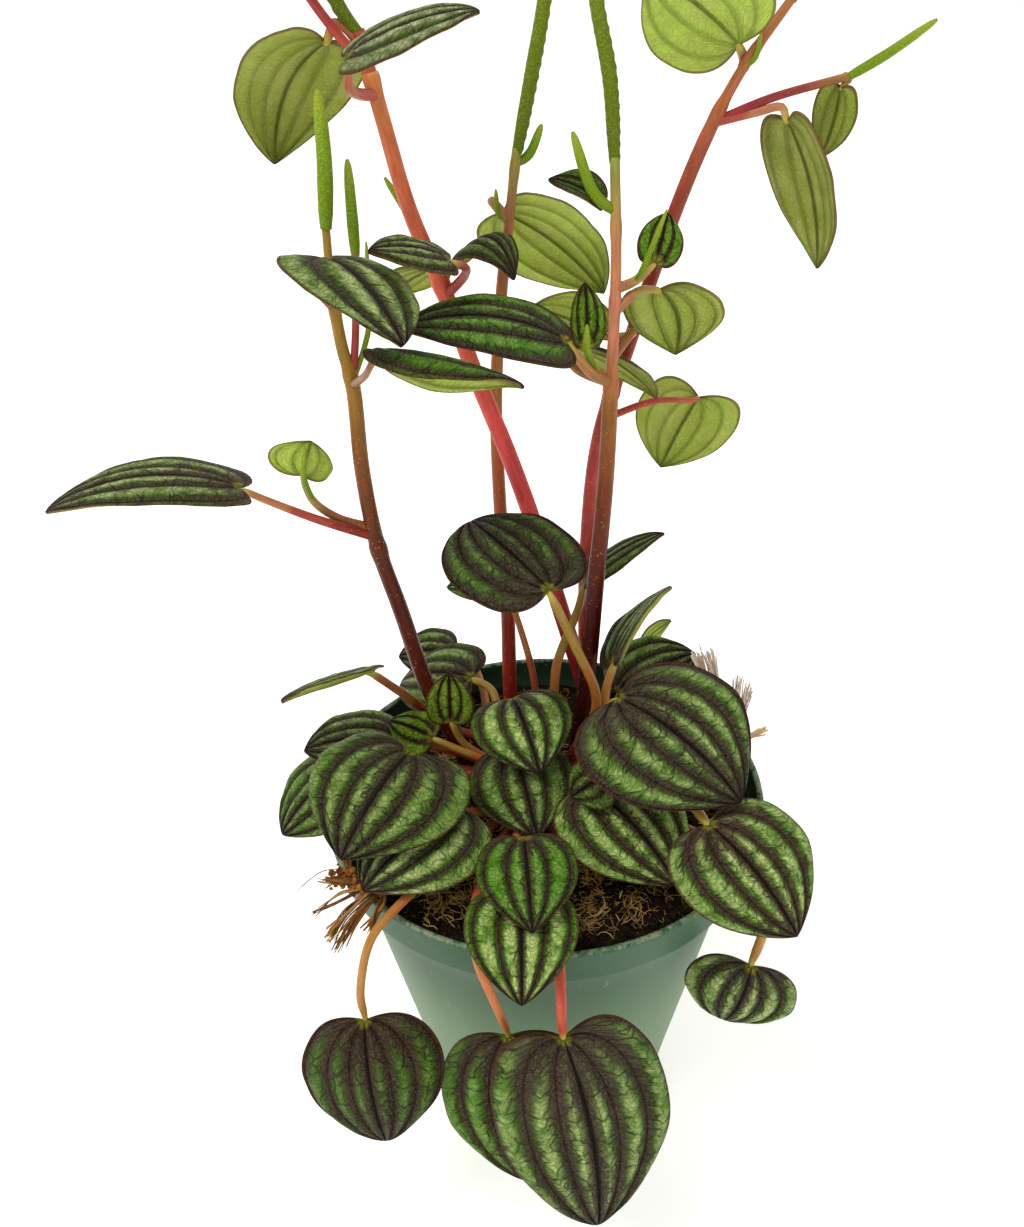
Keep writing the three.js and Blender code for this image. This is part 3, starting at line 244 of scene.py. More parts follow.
STEMS["flowering_stem_2"] = dict(
    way=[(14, 15, 87), (11, 17, 101), (5, 20, 123), (-1, 23, 145), (-6, 26, 160),
         (-12, 29, 176), (-18, 32, 194), (-24, 34, 210), (-28, 37, 226), (-30, 38, 235)],
    radii=[(0, 2.1), (0.7, 1.8), (0.76, 1.68), (1, 1.5)], nodes=(0.73, 0.99),
    hues="#6a1610 #8e2428 #b43236 #c43e40 #d84a4a #de5848 #dc6248 #d8704a #c87c48",
    limb_hues="#b8603c #b0443c #a83a40",
    limb_shares=(1, 0.64),
    limbs=[
        [(-30, 38, 234), (-31, 38.2, 240), (-31.6, 38, 242.4)],
        [(-30, 38, 234), (-32, 37.3, 238), (-34.8, 36, 241.6), (-39.2, 34.5, 248.2), (-41, 34, 251.6)],
    ],
    petioles=[
        ("stem_2_leaf_1", 1, [(-17.5, 31.8, 193), (-13.3, 26, 199), (-13.2, 21, 202.3)],
         "#a03c34 #a8503c"),
        ("stem_2_leaf_2", 1, [(-18, 32, 194), (-17.2, 34, 197)], SALMON),
        ("stem_2_leaf_3", 1, [(-18, 32, 194), (-20, 38, 196)], "#b0574a #a98a52"),
        ("stem_2_leaf_4", 1.1, [(-30, 38, 234), (-32.5, 38.2, 241.5), (-35.8, 38.6, 243.8)], SALMON),
        ("stem_2_leaf_5", 1.1, [(-29.2, 37.6, 231), (-32, 32, 232.4), (-33, 27, 234.4)], SALMON),
    ],
    spikes=[
        (1.45, [(-31.4, 38, 241.8), (-34.4, 38, 246), (-38.4, 38.3, 256), (-43, 39, 275)]),
        (1.05, [(-40.8, 34, 251.2), (-43.6, 34, 256), (-47, 34, 262)]),
        (1, [(-18, 32, 194), (-23, 38, 205), (-29, 40, 215)]),
    ],
    older=[0])
STEMS["flowering_stem_3"] = dict(
    way=[(-6, 17, 86), (-7, 20, 97), (-7, 26, 118), (-8, 32, 145), (-8, 36, 168),
         (-6, 40, 191), (-4, 42, 205), (-2, 44, 219)],
    radii=[(0, 1.8), (0.82, 1.25), (0.87, 1.05), (1, 0.95)], nodes=(0.85, 0.97),
    hues="#741409 #7e190c #8a2c18 #9a4628 #a2562e #a26a30 #a86c40 #a86444 #8a8a3a",
    limbs=[],
    petioles=[("stem_3_leaf_1", 1.1, [(-4, 42, 205), (-7.5, 46.5, 208)], "#a3744a #a98a52")],
    spikes=[
        (1.5, [(-2, 44, 218), (1, 46, 231), (4, 48, 245), (5.5, 49, 257), (6, 49.5, 270)]),
        (1, [(-2, 44, 216), (0.5, 45, 217.5), (3.2, 46, 223)]),
        (0.6, [(-4, 42, 205), (-6, 42.5, 206), (-6.6, 44, 211)]),
    ],
    older=[0])
STEMS["flowering_stem_4"] = dict(
    way=[(9, 10, 89), (11, 13, 107), (13, 15, 133), (15, 18, 156), (16, 21, 177),
         (17, 26, 199), (17, 33, 219)],
    radii=[(0, 2.2), (0.65, 1.65), (0.69, 1.2), (1, 1)], nodes=(0.67, 0.79, 0.9),
    hues="#340402 #3e0502 #4e0c04 #602009 #7a3c1a #945e26 #c0785a #c4825c #84963c",
    limbs=[],
    petioles=[
        ("stem_4_leaf_1", 1.1, [(16, 21, 177), (11.5, 17.5, 181)], "#9a6a3a #ad7a48"),
        ("stem_4_leaf_2", 0.9, [(16, 21, 177), (12.5, 20.5, 180.5)], BRONZE),
        ("stem_4_leaf_3", 1, [(16.4, 22.5, 182), (20.5, 28, 185), (20.8, 35.2, 181.8)], BRONZE),
        ("stem_4_leaf_4", 1, [(16, 21, 177), (9, 22, 180), (6, 28.5, 183)], BRONZE),
        ("stem_4_leaf_5", 0.8, [(17, 29.5, 209.5), (16.5, 32.5, 210)], "#b8734f #a58a48"),
        ("stem_4_leaf_6", 1, [(16.6, 24, 191), (21.5, 26, 194.5)], "#a06c45 #a58a48"),
        ("stem_4_leaf_7", 1, [(16.8, 25, 195.5), (21, 25.5, 197)], "#a06c45 #a58a48"),
    ],
    spikes=[
        (1.5, [(17, 33, 218), (16, 36, 233), (13.5, 39, 246), (12, 41, 258), (11.5, 42.5, 270)]),
        (1.2, [(17, 29.5, 209.5), (12.8, 30.4, 213), (8.7, 33.5, 224)]),
        (0.6, [(21, 25.5, 197), (22, 21.5, 201), (26, 21, 212)]),
        (0.75, [(12.5, 20.5, 180.5), (10.7, 17.3, 185.6), (10.6, 16.5, 191.4)]),
    ],
    older=[0])
STEMS["flowering_stem_5"] = dict(
    way=[(13, 22, 82), (12, 24, 95), (12, 31, 128), (15, 38, 156), (22, 42, 178),
         (32, 46, 207), (38, 48, 221), (44, 49, 232), (53, 51, 244)],
    radii=[(0, 1.9), (0.83, 1.5), (0.88, 1.1), (1, 0.9)], nodes=(0.5, 0.86, 0.93),
    hues="#701812 #9c3a2c #b84844 #b84a46 #a64238 #94382c #96402e #a8603a #a86c3c",
    limb_hues="#9a3038 #8e3034 #94403a #a07838",
    limbs=[[(38.5, 48, 222), (50, 49, 226), (65.5, 50, 229.5)]],
    petioles=[
        ("leaf_low_25", 0.8, [(12.4, 23, 87), (19, 31, 92)], OCHRE),
        ("stem_5_leaf_1", 1.1, [(44, 49, 232), (44.5, 51.5, 233)], TERRACOTTA),
        ("stem_5_leaf_2", 1, [(38.5, 48, 222), (47, 48.5, 223.5), (52.3, 47.7, 224.5)],
         "#ab4f3c #b87a58"),
        ("stem_5_leaf_3", 0.8, [(65, 50, 229.5), (66.5, 51.5, 228.8)], TERRACOTTA),
        ("stem_5_leaf_4", 0.8, [(16.2, 38.6, 161), (28, 42, 163.5), (37, 45, 162)], "#b0403c #b0523a"),
    ],
    spikes=[
        (1.1, [(53, 51, 243.5), (57.5, 51.8, 250), (61, 52, 258), (63, 52.2, 265)]),
        (1.05, [(65.5, 50, 229.3), (73, 50, 233.5), (82, 50, 239.5)]),
        (0.6, [(44, 49, 232), (46, 47.8, 234), (46.8, 47.8, 238.5)]),
        (0.6, [(23, 42.5, 181), (26.5, 40, 183.5), (31, 40, 186)]),
    ],
    older=[])

# The husk's spine, its bundles with the number of strands in each, and the ways of the tuft's roots.
HUSK_CORE = [(-34.5, -33.5, 87.8), (-38.5, -33.8, 88.4), (-42, -31, 88.2), (-44.3, -27.5, 87.8)]
HUSK_FIBRES = [
    (18, [(-37, -34, 89), (-42.3, -38, 87), (-46.6, -40, 81.5)]),
    (18, [(-35.5, -34, 88.8), (-41, -40, 86.4), (-44.5, -41.5, 80.5)]),
    (12, [(-34.5, -34, 88.6), (-35.5, -38.5, 87.8), (-37.5, -41.5, 84.8)]),
    (2, [(-43.5, -28, 89), (-47.5, -29.5, 90.4), (-53.6, -30, 85)]),
    (10, [(-42, -30, 89.4), (-42.8, -26, 91.5), (-42.2, -23, 92)]),
    (14, [(-40, -32.5, 89.4), (-44.5, -32, 89.5), (-47.5, -30.5, 88)]),
    (5, [(-39, -34, 89.2), (-43.5, -36, 88.6), (-49, -36.5, 84.5)]),
]
TUFT_FOOT = (42.5, 12)
TUFT_ROOTS = [
    [(42.5, 12, 82), (42, 13, 96), (37.2, 15, 111.2)],
    [(42.5, 12, 82), (43.6, 13.5, 95), (39.8, 14.5, 111.5)],
    [(42.5, 12, 82), (45.8, 12.5, 92), (46.8, 14, 104)],
    [(42.5, 12, 82), (47.3, 12.6, 90), (49, 14, 102)],
    [(42.5, 12, 82), (47.4, 10.6, 88.4), (53.2, 9, 93)],
]


# ---- mesh tools
def rgb(code):
    """A hex colour as linear red, green and blue."""
    parts = [int(code[i:i + 2], 16) / 255 for i in (1, 3, 5)]
    return tuple(p / 12.92 if p <= 0.04045 else ((p + 0.055) / 1.055) ** 2.4 for p in parts)


def seeded(seed):
    return np.random.default_rng(SEED + seed)


def pick(draw, choices):
    return choices[int(draw.integers(len(choices)))]


def placed(name, data):
    """A new object with its data, put into the scene."""
    obj = bpy.data.objects.new(name, data)
    bpy.context.scene.collection.objects.link(obj)
    return obj


class Body:
    """Points, faces and point fields of one piece, in millimetres, until it becomes an object."""

    def __init__(self):
        self.points, self.faces, self.slots, self.fields, self.count = [], [], [], {}, 0

    def add(self, points, faces, slot=0, **fields):
        points = np.asarray(points, float).reshape(-1, 3)
        self.points.append(points)
        self.faces.extend([tuple(int(i) + self.count for i in face) for face in faces])
        self.slots.extend([slot] * len(faces) if np.isscalar(slot) else slot)
        for name, value in fields.items():
            value = np.broadcast_to(np.asarray(value, float), (len(points), 3))
            self.fields.setdefault(name, []).append(value)
        self.count += len(points)

    def piece(self, name, materials, node, replaces=True):
        mesh = bpy.data.meshes.new(name)
        mesh.from_pydata((np.concatenate(self.points) * MM).tolist(), [], self.faces)
        mesh.polygons.foreach_set("material_index", self.slots)
        mesh.polygons.foreach_set("use_smooth", [True] * len(self.faces))
        for field, values in self.fields.items():
            attribute = mesh.attributes.new(field, "FLOAT_VECTOR", "POINT")
            attribute.data.foreach_set("vector", np.concatenate(values).astype(np.float32).ravel())
        for material in materials:
            mesh.materials.append(material)
        mesh.validate()
        mesh.update()
        obj = placed(name, mesh)
        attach(obj, "root")
        if replaces:
            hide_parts(node)
        return obj


def shell_faces(rings, sides, inward=False):
    """Faces of a closed body: a first pole, rings of points one after the other, and a last pole."""
    faces, last = [], 1 + rings * sides
    for j in range(sides):
        k = (j + 1) % sides
        faces.append((0, 1 + k, 1 + j))
        for a in range(1, last - sides, sides):
            b = a + sides
            faces.append((a + j, a + k, b + k, b + j))
        faces.append((last - sides + j, last - sides + k, last))
    return [(face[0], *face[:0:-1]) for face in faces] if inward else faces


def curve_points(way, samples=400, steps=40):
    """Even points, by length, along the centripetal curve that the solids follow, and its length."""
    p = [np.array(q, float) for q in way]
    p = [2 * p[0] - p[1], *p, 2 * p[-1] - p[-2]]
    dense = []
    for i in range(len(p) - 3):
        p0, p1, p2, p3 = p[i:i + 4]
        d0, d1, d2 = (np.sqrt(np.linalg.norm(b - a)) for a, b in ((p0, p1), (p1, p2), (p2, p3)))
        m1 = ((p1 - p0) / d0 - (p2 - p0) / (d0 + d1) + (p2 - p1) / d1) * d1
        m2 = ((p2 - p1) / d1 - (p3 - p1) / (d1 + d2) + (p3 - p2) / d2) * d1
        u = np.linspace(0, 1, steps, endpoint=i == len(p) - 4)[:, None]
        dense.append(p1 + m1 * u + (3 * (p2 - p1) - 2 * m1 - m2) * u ** 2
                     + (2 * (p1 - p2) + m1 + m2) * u ** 3)
    dense = np.concatenate(dense)
    run = np.concatenate([[0], np.cumsum(np.linalg.norm(np.diff(dense, axis=0), axis=1))])
    even = np.linspace(0, run[-1], samples)
    return np.stack([np.interp(even, run, dense[:, k]) for k in range(3)], 1), run[-1]


def between(rows, u):
    """The value at a share u, straight between the rows of share and value."""
    return float(np.interp(u, [row[0] for row in rows], [row[1] for row in rows]))


def along_stops(hues, u):
    colours = np.array([rgb(h) for h in hues])
    at = np.linspace(0, 1, len(hues))
    return np.stack([np.interp(u, at, colours[:, k]) for k in range(3)], -1)


def tube(body, way, radius, sides, step, hues, slot=0, seed=0.0, ends=(0.0, 0.0), relief=None):
    """A closed round body along a way. Its end poles stand out by ends, as shares of the radius."""
    line, length = curve_points(way)
    rings = max(3, int(round(length / step)))
    u = np.linspace(0, 1, rings + 1)
    at = u * (len(line) - 1)
    centre = np.stack([np.interp(at, np.arange(len(line)), line[:, k]) for k in range(3)], 1)
    ahead = np.gradient(centre, axis=0)
    ahead /= np.linalg.norm(ahead, axis=1)[:, None]
    side = np.array([0.31, 0.93, 0.17])
    turn = 2 * np.pi * np.arange(sides) / sides
    size = np.array([radius(x) for x in u])
    points = [centre[0] - ahead[0] * size[0] * ends[0]]
    for i in range(rings + 1):
        side = side - ahead[i] * side.dot(ahead[i])
        side /= np.linalg.norm(side)
        other = np.cross(ahead[i], side)
        r = size[i] + (relief(u[i] * length, turn, size[i], i) if relief else np.zeros(sides))
        points.extend(centre[i] + np.outer(r * np.cos(turn), side) + np.outer(r * np.sin(turn), other))
    points.append(centre[-1] + ahead[-1] * size[-1] * ends[1])
    shade = along_stops(hues, u)
    tint = np.concatenate([shade[:1], np.repeat(shade, sides, axis=0), shade[-1:]])
    grain = np.zeros((len(points), 3))
    grain[1:-1, 0] = np.tile(np.cos(turn), rings + 1)
    grain[1:-1, 1] = np.repeat(u * length, sides)
    grain[1:-1, 2] = np.tile(np.sin(turn), rings + 1)
    grain[-1, 1] = length
    grain += seed * 13.7
    body.add(points, shell_faces(rings + 1, sides), slot, tint=tint, grain=grain)


def lathe(body, profile, segments, slot=0, centre=(0, 0), wobble=None, **fields):
    """A closed body turned about the vertical from a profile of radius and height."""
    turn = 2 * np.pi * np.arange(segments) / segments
    points = [(centre[0], centre[1], profile[0][1])]
    for radius, z in profile[1:-1]:
        r = radius * (1 + (wobble(turn, z) if wobble else 0)) * np.ones(segments)
        points.extend(zip(centre[0] + r * np.cos(turn), centre[1] + r * np.sin(turn), [z] * segments))
    points.append((centre[0], centre[1], profile[-1][1]))
    body.add(points, shell_faces(len(profile) - 2, segments), slot, **fields)


# ---- materials
def wire(tree, kind, sockets, **settings):
    """A new shader node. Each socket is linked to the field or output given for it, or set to a value."""
    node = tree.nodes.new("ShaderNode" + kind)
    for key, value in settings.items():
        setattr(node, key, value)
    for key, value in sockets.items():
        if isinstance(value, Field):
            value = value.socket
        if isinstance(value, bpy.types.NodeSocket):
            tree.links.new(value, node.inputs[key])
        else:
            node.inputs[key].default_value = value
    return node


class Field:
    """A number that varies over a surface, so that a material can be written as arithmetic."""

    def __init__(self, tree, socket):
        self.tree, self.socket = tree, socket

    def math(self, kind, *others):
        node = wire(self.tree, "Math", dict(enumerate((self, *others))), operation=kind)
        return Field(self.tree, node.outputs[0])

    def __add__(self, other):
        return self.math("ADD", other)

    def __sub__(self, other):
        return self.math("SUBTRACT", other)

    def __mul__(self, other):
        return self.math("MULTIPLY", other)

    def most(self, other):
        return self.math("MAXIMUM", other)

    def least(self, other):
        return self.math("MINIMUM", other)

    def ramp(self, low, high):
        """0 at low and below, 1 at high and above, with a soft step between; low may be above high."""
        node = wire(self.tree, "MapRange", {"Value": self, "From Min": low, "From Max": high},
                    interpolation_type="SMOOTHSTEP")
        return Field(self.tree, node.outputs["Result"])


class Material:
    def __init__(self, name, **sockets):
        self.material = bpy.data.materials.new(name)
        self.material.use_nodes = True
        self.tree = self.material.node_tree
        self.shader = self.tree.nodes["Principled BSDF"]
        for key, value in sockets.items():
            self.shader.inputs[key.replace("_", " ")].default_value = value

    def output(self, name, kind, sockets, **settings):
        return wire(self.tree, kind, sockets, **settings).outputs[name]

    def attribute(self, name):
        return self.output("Vector", "Attribute", {}, attribute_name=name)

    def split(self, vector):
        return [Field(self.tree, out) for out in wire(self.tree, "SeparateXYZ", {0: vector}).outputs]

    def field(self, name):
        """The three numbers of a point field, and the field itself as a vector."""
        vector = self.attribute(name)
        return [*self.split(vector), vector]

    def place(self):
        return self.output("Object", "TexCoord", {})

    def millimetres(self):
        return self.stretch(self.place(), (1 / MM, 1 / MM, 1 / MM))

    def stretch(self, vector, scale):
        return self.output("Vector", "Mapping", {"Vector": vector, "Scale": scale})

    def bend(self, vector, by, amount):
        """The vector moved by a noise vector."""
        wobble = self.output("Color", "TexNoise", {"Vector": vector, "Scale": by, "Detail": 1.0})
        sockets = {0: wobble, 1: (amount, amount, amount), 2: vector}
        return self.output(0, "VectorMath", sockets, operation="MULTIPLY_ADD")

    def noise(self, vector, scale, detail=2.0, roughness=0.5):
        sockets = {"Vector": vector, "Scale": scale, "Detail": detail, "Roughness": roughness}
        return Field(self.tree, self.output("Fac", "TexNoise", sockets))

    def cells(self, vector, scale, feature="F1"):
        sockets = {"Vector": vector, "Scale": scale}
        return Field(self.tree, self.output("Distance", "TexVoronoi", sockets, feature=feature))

    def mix(self, amount, a, b):
        a, b = [(*rgb(end), 1) if isinstance(end, str) else end for end in (a, b)]
        return self.output(2, "Mix", {0: amount, 6: a, 7: b}, data_type="RGBA")

    def layers(self, colour, *coats):
        """The colour under coats, each given as an amount and a hue."""
        for amount, hue in coats:
            colour = self.mix(amount, colour, hue)
        return colour

    def shade(self, colour, amount):
        """The colour multiplied by a field."""
        return self.output(0, "VectorMath", {0: colour, "Scale": amount}, operation="SCALE")

    def finish(self, colour, height=None, roughness=None, strength=1.0):
        links = {"Base Color": colour}
        if roughness is not None:
            links["Roughness"] = roughness.socket
        if height is not None:
            bump = {"Strength": strength, "Distance": MM, "Height": height}
            links["Normal"] = self.output(0, "Bump", bump)
        for key, socket in links.items():
            self.tree.links.new(socket, self.shader.inputs[key])
        return self.material


def leaf_material(name, under):
    m = Material(name, Specular_IOR_Level=0.17)
    x, y, _, flat = m.field("flat")
    v, pitch, t, _ = m.field("vein")
    dark, fresh, silver_and_sheen, _ = m.field("look")
    warm = m.field("tone")[0]
    edge, width, inner, _ = m.field("edge")
    lane = m.attribute("lane")
    offset = v.math("PINGPONG", 0.5)
    far = offset * pitch
    broad = m.noise(flat, 0.13, 2)
    patch = m.noise(flat, 0.36, 3, 0.6)
    fine = m.noise(flat, 2.4, 3, 0.65)
    bent = m.bend(lane, 0.5, 1.3)
    net = m.cells(m.stretch(bent, (0.22, 0.24, 1)), 1.0, "DISTANCE_TO_EDGE").ramp(0.07, 0.0)
    mesh = m.cells(m.stretch(bent, (0.9, 1.0, 1)), 1.0, "DISTANCE_TO_EDGE").ramp(0.15, 0.02)
    middle = v.ramp(0.5, 0.45)
    crowded = t.ramp(0.5, 0.02)
    reach = width * (dark * 0.02 + 0.011) * (middle * 0.5 + 1.0) * (crowded * 1.5 + 1.0)
    ragged = far + (patch - 0.5) * reach * 1.5 - net * reach * 0.5 + (fine - 0.5) * 0.6
    band = ragged.ramp(reach * 2.1, reach * 0.35)
    halo = ragged.ramp(reach * 3.2, reach * 1.3)
    line = far.ramp(0.3, 0.06)
    speckle = fine.ramp(0.4, 0.72)
    blotch = patch.ramp(0.32, 0.62) * 0.85 + 0.2
    glow = offset.ramp(0.12, 0.4) * blotch * silver_and_sheen * (inner * 0.7 + 0.65)
    young = (fresh - 1.0).most(0.0)
    if under:
        flesh = m.layers(
            m.mix(fresh.least(1.0), "#808c30", "#c2e05a"),
            (patch.ramp(0.35, 0.7) * 0.3, "#a09a58"),
            (glow * 0.4 + broad.ramp(0.4, 0.7) * 0.25, "#d2d684"))
        veins = (far.ramp(0.8, 0.1) * 0.7).most(net * 0.3).most(mesh * 0.1)
        colour = m.layers(
            flesh,
            (veins * 0.32 + band * 0.1, "#5c661c"),
            (dark * band * 0.22, "#5a3a26"),
            (edge.ramp(0.5, 0.2) * 0.7, "#6a3e2a"))
        height = far.ramp(0.7, 0.0) * 0.35 + mesh * 0.12 + fine * 0.06
    else:
        green = m.mix(young, m.mix(fresh.least(1.0), "#4a5c18", "#4a8804"), "#86a620")
        pale = m.mix(young, m.mix(fresh.least(1.0), "#bcc294", "#bedc78"), "#bccc5a")
        panel = m.layers(
            m.mix(glow.least(1.0), green, pale),
            (halo * 0.55, "#26350c"),
            (mesh * 0.1, "#2f4014"),
            (net * (halo * 0.5 + 0.2), "#232610"))
        plum = m.layers(
            m.mix(broad.ramp(0.35, 0.65), "#272114", "#3d3525"),
            # painted sheen: the silvery share lightens the dark bands to grey, standing in for a soft
            # highlight
            (silver_and_sheen * 0.4, "#585346"),
            (warm, "#552c18"),
            (speckle * 0.4, "#75695a"))
        joint = (x * x + y * y).math("POWER", 0.5).ramp(2.0, 0.8)
        arms = t.ramp(0.06, 0.025) * edge.ramp(0.8, 0.4)
        colour = m.layers(
            m.mix(band, panel, plum),
            (line * 0.4, "#20160f"),
            (edge.ramp(0.5, 0.15) * 0.8, "#54301e"),
            (joint.most(arms * 0.6), "#9a9a35"))
        height = (mesh * -0.3) - net * 0.36 - line * 0.25 + fine * 0.24 + patch * 0.14
    rough = fine * 0.2 + (0.5 if under else 0.33)
    return m.finish(colour, height, rough, 1.0)


def stem_material(name, spotted):
    m = Material(name, Specular_IOR_Level=0.22)
    grain = m.attribute("grain")
    streak = m.noise(m.stretch(grain, (2.2, 0.22, 2.2)), 1.0, 3, 0.6)
    blotch = m.noise(m.stretch(grain, (0.8, 0.12, 0.8)), 1.0, 1)
    spots = m.cells(m.stretch(grain, (1.6, 1.1, 1.6)), 1.0).ramp(0.26, 0.14)
    few = m.noise(grain, 0.35, 1).ramp(0.4, 0.62)
    colour = m.layers(
        m.shade(m.attribute("tint"), streak * 0.9 + blotch * 0.6 + 0.3),
        (spots * few * spotted, "#c98e63"),
        (streak.ramp(0.6, 0.8) * 0.14, "#cf8a62"))
    height = streak * 0.25 + spots * 0.06
    return m.finish(colour, height, streak * 0.12 + 0.3, 0.6)


def spike_material():
    m = Material("spike_flowers", Specular_IOR_Level=0.15)
    grain = m.attribute("grain")
    beads = m.cells(m.stretch(grain, (2.4, 2.2, 2.4)), 1.0)
    colour = m.shade(m.attribute("tint"), beads.ramp(0.7, 0.1) * 0.5 + 0.72)
    colour = m.mix(beads.ramp(0.22, 0.1) * 0.3, colour, "#c3cf6c")
    return m.finish(colour, beads.ramp(0.55, 0.0) * 0.22, beads * 0.1 + 0.42, 0.8)


def soil_material():
    m = Material("soil_peat", Specular_IOR_Level=0.12)
    place = m.millimetres()
    coarse = m.noise(place, 0.28, 3, 0.6)
    fine = m.noise(place, 1.6, 4, 0.7)
    colour = m.layers(
        m.mix(coarse.ramp(0.35, 0.7), "#090503", "#20150d"),
        (fine.ramp(0.5, 0.75), "#5a412c"),
        (m.cells(place, 0.55).ramp(0.14, 0.08) * 0.9, "#8a6a45"))
    return m.finish(colour, coarse * 0.8 + fine * 0.9, fine * 0.3 + 0.6, 1.0)


def fibre_material(name, low, high):
    m = Material(name, Specular_IOR_Level=0.12)
    place = m.millimetres()
    grain = m.noise(place, 0.9, 3, 0.6)
    colour = m.mix(grain.ramp(0.3, 0.7), low, high)
    colour = m.mix(0.6, colour, m.attribute("tint"))
    return m.finish(colour, grain * 0.4, grain * 0.2 + 0.6, 0.8)


def pot_material():
    m = Material("pot_moulded_plastic", Specular_IOR_Level=0.3)
    place = m.millimetres()
    cloud = m.noise(m.stretch(place, (1, 1, 0.35)), 0.05, 3, 0.55)
    grit = m.noise(place, 3.0, 3, 0.6)
    scuffs = m.noise(m.stretch(place, (0.5, 0.5, 0.12)), 1.1, 4, 0.75)
    gate = m.noise(place, 0.06, 1).ramp(0.48, 0.62)
    x, y, z = m.split(place)
    slant = (x * x + y * y).math("POWER", 0.5) - z * 0.12
    # painted shade: the inside of the wall above the soil, darkened as if in shadow
    painted_inside_shade = slant.ramp(40.0, 39.4) * z.ramp(74.0, 76.5)
    dust = scuffs.ramp(0.6, 0.74) * gate
    grains = m.cells(place, 0.42).ramp(0.1, 0.04) * z.ramp(60.0, 84.0)
    lip = z.ramp(85.2, 85.8)
    colour = m.layers(
        m.mix(cloud.ramp(0.3, 0.7), "#5c7a55", "#688660"),
        # painted shade: the wall darkens towards the top, and more on the rim band
        (z.ramp(22.0, 78.0), "#3c6547"),
        (z.ramp(76.0, 77.5) * 0.75, "#2c5638"),
        # painted shade on the inside wall above the soil
        (painted_inside_shade * 0.8, "#0c2a1c"),
        (dust * 0.4, "#9fae94"),
        ((gate * 0.5 + 0.3) * grains, "#d4d8c4"),
        (lip * scuffs.ramp(0.4, 0.6) * 0.35, "#c4ccac"))
    return m.finish(colour, grit * 0.08 + dust * 0.1, cloud * 0.12 + grit * 0.06 + 0.36, 0.5)


LEAF_TOP = leaf_material("leaf_upper_face", False)
LEAF_UNDER = leaf_material("leaf_lower_face", True)
STEM_SKIN = stem_material("stem_skin", 0.55)
PETIOLE_SKIN = stem_material("petiole_skin", 0.75)
SPIKE_SKIN = spike_material()
SOIL = soil_material()
COIR = fibre_material("coir_fibre", "#5e3c1c", "#a8743c")
ROOT = fibre_material("pale_root_fibre", "#c8b4a4", "#f0e4da")
STRAWS = fibre_material("straw_fibre", "#a8803c", "#ecd08a")
PLASTIC = pot_material()


# ---- leaves
def leaf_shape(row):
    joint, tip, width, faces, bends, _ = row
    notch, end = np.array(joint, float), np.array(tip, float)
    length = np.linalg.norm(end - notch)
    ey = (end - notch) / length
    ez = np.array(faces, float)
    ez -= ey * ez.dot(ey)
    ez /= np.linalg.norm(ez)
    ex = np.cross(ey, ez)
    cup, arch, skew = bends.get("cup", CUP), bends.get("arch", ARCH), bends.get("skew", 0)
    lobe, point = bends.get("lobe", NOTCH_DEPTH), bends.get("point", TIP_POINT)

    def flat(s, t):
        p = np.pi * t
        edge_x = 0.5 * np.sin(p) * (1 + WIDEST_LOW * np.cos(p))
        edge_y = ((1 - np.cos(p)) / 2 - lobe * np.sin(p) * (1 + np.cos(p)) ** 2 / 4
                  - point * np.sin(p) * (1 - np.cos(p)) ** 2 / 4)
        middle = 0.5 * t + 0.25 * (1 - np.cos(p))
        return s * edge_x * width, length * (middle + np.abs(s) ** 1.7 * (edge_y - middle))

    def smooth(s, t):
        x, y = flat(s, t)
        tau = np.clip(y / length, -0.3, 1)
        h = x / (width / 2)
        z = arch * length * 4 * tau * (1 - tau) - cup * width * h * h / 2
        side = x + skew * length * tau * (1 - tau)
        return notch + side[..., None] * ex + y[..., None] * ey + z[..., None] * ez

    return flat, smooth, ex, ey, ez


